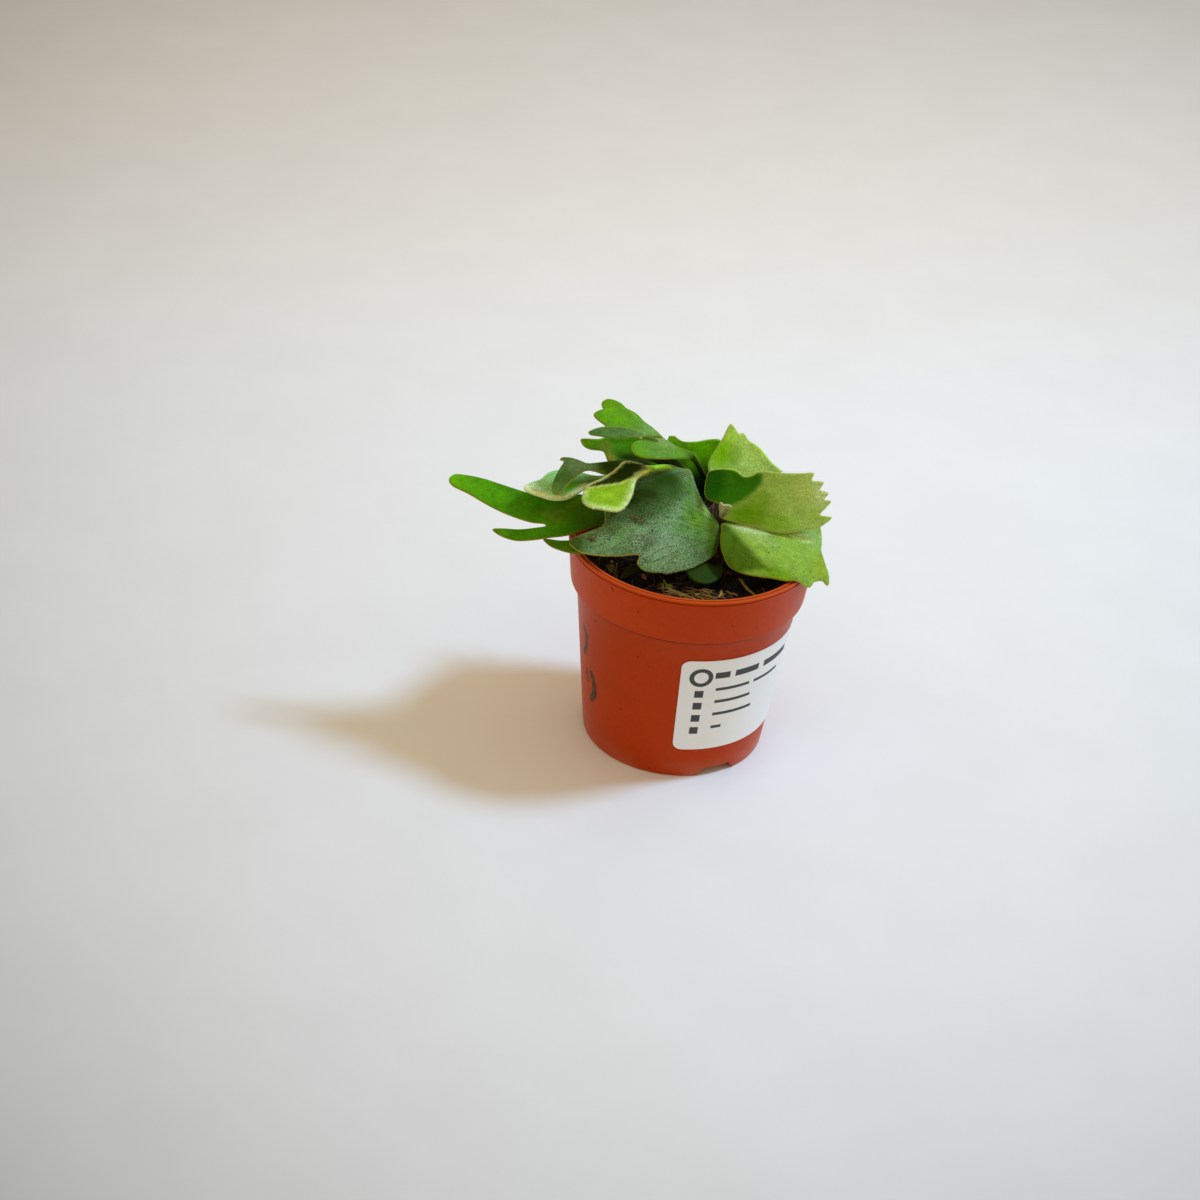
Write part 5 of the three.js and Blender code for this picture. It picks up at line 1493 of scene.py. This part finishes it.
# Young front frond. A short dark spoon-shaped frond that comes up through the mix in front of the
# crown, with its stalk's foot in the mix.
make_frond(
    "frond_front_young", "antler_frond",
    frond_skin("young_frond_skin", rim="#2c4816", felt=0.3, bloom="#64845c", glow=0.1, vein=0.12),
    base="#182e07", under="#5a7a4c", in_soil=True,
    patches=[(12, -1, 4, 3, "#203a08", 0.5)],
    spine=[[6, -6, 47.6], [6, -7.8, 50.8], [4.6, -11.4, 53.4], [0.8, -16, 53.4]],
    face=[[-0.3, -0.6, 0.6], [-0.3, -0.6, 0.6], [-0.15, -0.6, 0.78], [-0.15, -0.6, 0.78]],
    curl=[0, 0, -0.02, -0.02],
    outline=[
        [3, -0.9], [5, -2], [8, -3.4], [11, -3.7], [13.5, -3.2], [15.3, -2], [16, 0], [15.4, 2],
        [13.5, 3.4], [11, 3.9], [8, 3.3], [5, 1.7], [3, 0.9],
    ],
)

# Small leaves. A pale papery bract that stands at the crown's front, and a dull olive young leaf that
# lies on the mix under the front shield frond.
make_frond(
    "crown_bract", "shield_frond",
    frond_skin("bract_skin", rim="#c8b890", felt=0.4, bloom="#d8c8b0", gloss=0.6, glow=0.2, dots=0.1),
    base="#94a45c", under="#8a8a50", extra=True,
    patches=[(0.6, -0.8, 1.6, 1.2, "#5c3a1c", 0.8), (3, 0.6, 1.6, 1.2, "#bcc088", 0.8)],
    spine=[[6.2, -2.9, 62.6], [6.4, -2.9, 64.6], [6.8, -2.7, 66.6]],
    face=[[0, -0.9, 0.3], [0.1, -0.9, 0.3], [0.2, -0.9, 0.3]],
    curl=[0.15] * 3,
    outline=[
        [0, -0.5], [1.2, -1.1], [2.6, -1.6], [3.5, -1.7], [3.7, -0.6], [3.4, 0.3], [3.9, 1.3], [2.6, 1.3],
        [1.2, 0.8], [0, 0.5],
    ],
)
make_frond(
    "leaf_on_mix", "antler_frond",
    frond_skin("mix_leaf_skin", rim="#3a4418", felt=0.2, bloom="#6a7444", gloss=0.6, glow=0.1),
    base="#2c3208", under="#2c3208", extra=True,
    spine=[[-16.6, -15.4, 50.5], [-14.6, -12.8, 51.3], [-11.8, -9.9, 51.1]],
    face=[[0.1, -0.4, 0.9]] * 3,
    curl=[0.1] * 3,
    outline=[
        [0, -0.2], [1.2, -0.8], [3, -1.2], [5.4, -1.2], [7.3, -0.7], [7.8, 0], [7.2, 0.7], [5.4, 1.1],
        [3, 1], [1.2, 0.6], [0, 0.2],
    ],
)

# Woolly hairs. Fine white to yellowish star hairs that the young fronds shed, thickest along the
# margins of the folded, cupped and upright fronds, with a few loose tufts on the folded one.
tuft_hairs = 16
tuft_radius = 0.06
for s, t in ((45.7, 3), (44.6, 4.9), (42.3, 6.4), (38.3, 8.1)):
    spot = surfaces["frond_left_folded"].at(np.array([s]), np.array([t]), np.array([0.35]))[0]
    for _ in range(tuft_hairs):
        way = Vector((random.gauss(0, 1), random.gauss(0, 1), random.gauss(0, 1))).normalized()
        add_hair(spot, Vector(spot) + way * random.uniform(0.15, 0.32), tuft_radius, 1)
wool_white = toned_finish(
    "wool_white", "#8f9410", "#fbffe8", streak="#a8b060", share=0.2, start=0.3, scale=2600, detail=2,
    rough=(0.6, 0.8), depth=0.00002,
    sockets={"Subsurface Weight": 0.3, "Subsurface Scale": 0.0003, "Specular IOR Level": 0.2},
)
finish_mesh(hairs, "woolly_hairs", wool_white, "shield_frond")

# Litter. A bit of curled dry root, brown crumbs of husk and dark specks of mix that have fallen on
# the front shield frond and lie on its felt.
# The root's spots are their flat places and heights on the frond. A crumb is its place, size and tone.
root_radius = 0.13
root_spots = ((24.2, -2.3, 0.1), (23.4, -1.5, 0.35), (22.6, -1.2, 0.5), (21.9, -0.5, 0.35), (21.4, 0.2, 0.1))
spur_spots = ((23.2, -1.9, 0.1), (21.6, -1.2, 0.2))
fallen_crumbs = (
    (34.2, 0.6, 0.5, 0.6), (35, 0.4, 0.3, 0.4), (33.6, 1.3, 0.42, 0.75), (34.4, 1.2, 0.3, 0.2),
    (33.2, 0.6, 0.24, 0.3), (20, 2.4, 0.24, 0), (22.1, 5.4, 0.16, 0), (16.6, -0.2, 0.15, 0),
    (10.4, 3, 0.14, 0), (13.2, 6.1, 0.15, 0.1), (27.3, 1.1, 0.13, 0), (18.1, 8.6, 0.16, 0),
    (24.5, 4.6, 0.12, 0), (15.2, 4.4, 0.13, 0.1), (12.2, -3.4, 0.12, 0), (8.3, 5.2, 0.13, 0),
)


def on_front(s, t, lift):
    """A point so far above the front shield frond's upper side at its flat place."""
    height = np.array([leaf_thickness / 2 + lift])
    return Vector(surfaces["shield_front"].at(np.array([s]), np.array([t]), height)[0])


def make_litter():
    bm = bmesh.new()
    curled, spur = [[on_front(*spot) for spot in spots] for spots in (root_spots, spur_spots)]
    for points, tone in ((curled, 0.75), ([spur[0], curled[2], spur[1]], 0.5)):
        root_hair = bmesh.new()
        curve, _ = smooth_points(points, 4, closed=False)
        tube(root_hair, curve, [root_radius] * len(curve), 6)
        stamp(bm, root_hair, Matrix.Identity(4), tone)
    for s, t, size, tone in fallen_crumbs:
        crumb = bmesh.new()
        bmesh.ops.create_icosphere(crumb, subdivisions=2, radius=size)
        for corner in crumb.verts:
            corner.co *= 1 + 0.9 * noise.noise(corner.co * 1.6 / size + Vector((s, t, 0)))
            corner.co.z *= 0.4
        stamp(bm, crumb, Matrix.Translation(on_front(s, t, size * 0.3)), tone)
    bmesh.ops.recalc_face_normals(bm, faces=bm.faces)
    return bm


dry_litter = toned_finish(
    "dry_litter", "#140f06", "#93713f", streak="#3a2410", share=0.5, start=0.4, scale=1600, detail=3,
    rough=(0.7, 0.9), depth=0.0001, sockets={"Specular IOR Level": 0.2},
)
finish_mesh(make_litter(), "dry_litter", dry_litter, "potting_mix")

# Floor, light and camera. A plain pale floor with painted light fall-off, darker away from the pot,
# a warm even light all round, a cool round lamp high on the right, and the photograph's camera.
floor_half_side = 3.0
floor_bm = bmesh.new()
bmesh.ops.create_grid(floor_bm, x_segments=8, y_segments=8, size=floor_half_side)
floor_mesh = bpy.data.meshes.new("floor")
floor_bm.to_mesh(floor_mesh)
floor_bm.free()
floor = bpy.data.objects.new("floor", floor_mesh)
bpy.context.scene.collection.objects.link(floor)


def floor_sheet():
    """A pale sheet that grows darker with the distance from the middle of the camera's picture.

    Its darkening and its warmer far part are painted light fall-off. Depth is the distance from the
    camera along its view, and across and upward are the place in the picture, worked out from the
    camera's place and tilt.
    """
    finish = Finish("floor_sheet", {"Specular IOR Level": 0.25})
    place = finish.place()
    x, y, _ = finish.parts(place)
    depth = finish.plus(finish.times(y, 0.854), 0.607)
    across = finish.minus(finish.math("DIVIDE", finish.plus(x, 0.021), depth), 0.055)
    upward = finish.minus(finish.times(y, 0.521), 0.03)
    upward = finish.minus(finish.math("DIVIDE", upward, depth), 0.055)
    upward = finish.plus(upward, finish.times(finish.largest(upward, 0), 0.7))
    away = finish.plus(finish.times(across, across), finish.times(upward, upward))
    # Painted light fall-off: darker away from the middle of the picture, and warmer towards the far floor.
    fall = finish.largest(finish.times(away, -2.5), -0.5)
    colour = finish.mix(finish.fade(upward, 0.0, 0.25), "#eeedec", "#f0e9e0")
    scuffs = finish.noise(place, 30, 5, 0.6)
    level = finish.plus(fall, finish.fade(scuffs, 0.3, 0.7, 0.985, 1.01))
    return finish.end(finish.scaled(colour, level), finish.fade(scuffs, 0, 1, 0.5, 0.65))


floor_mesh.materials.append(floor_sheet())

world = bpy.data.worlds.new("studio")
world.use_nodes = True
studio = world.node_tree.nodes["Background"].inputs
studio["Color"].default_value = (1.0, 0.83, 0.57, 1)
studio["Strength"].default_value = 0.71
bpy.context.scene.world = world

lamp_way = Vector((0.73, 0.17, 1)).normalized()
lamp_distance = 1.6
lamp_target = Vector((0, 0, 0.04))
lamp_data = bpy.data.lights.new("soft_lamp", "AREA")
lamp_data.shape = "DISK"
lamp_data.size = 0.3
lamp_data.energy = 20.2
lamp_data.color = (0.41, 0.67, 1.0)
lamp = bpy.data.objects.new("soft_lamp", lamp_data)
lamp.location = lamp_way * lamp_distance + lamp_target
lamp.rotation_euler = lamp_way.to_track_quat("Z", "Y").to_euler()
bpy.context.scene.collection.objects.link(lamp)

camera_tilt = math.radians(31.4)
camera_roll = math.radians(5.2)
camera_place = (-0.02088, -0.50303, 0.34173)
camera_data = bpy.data.cameras.new("camera")
camera_data.lens = 72
camera_data.sensor_width = 36
camera_data.clip_start = 0.01
camera = bpy.data.objects.new("camera", camera_data)
forward = Vector((0, math.cos(camera_tilt), -math.sin(camera_tilt)))
level_up = Vector((0, math.sin(camera_tilt), math.cos(camera_tilt)))
level_right = Vector((1, 0, 0))
camera_right = level_right * math.cos(camera_roll) + level_up * math.sin(camera_roll)
camera_up = level_up * math.cos(camera_roll) - level_right * math.sin(camera_roll)
turn = Matrix((camera_right, camera_up, -forward)).transposed().to_4x4()
camera.matrix_world = Matrix.Translation(camera_place) @ turn
bpy.context.scene.collection.objects.link(camera)
bpy.context.scene.camera = camera
bpy.context.scene.view_settings.view_transform = "Standard"
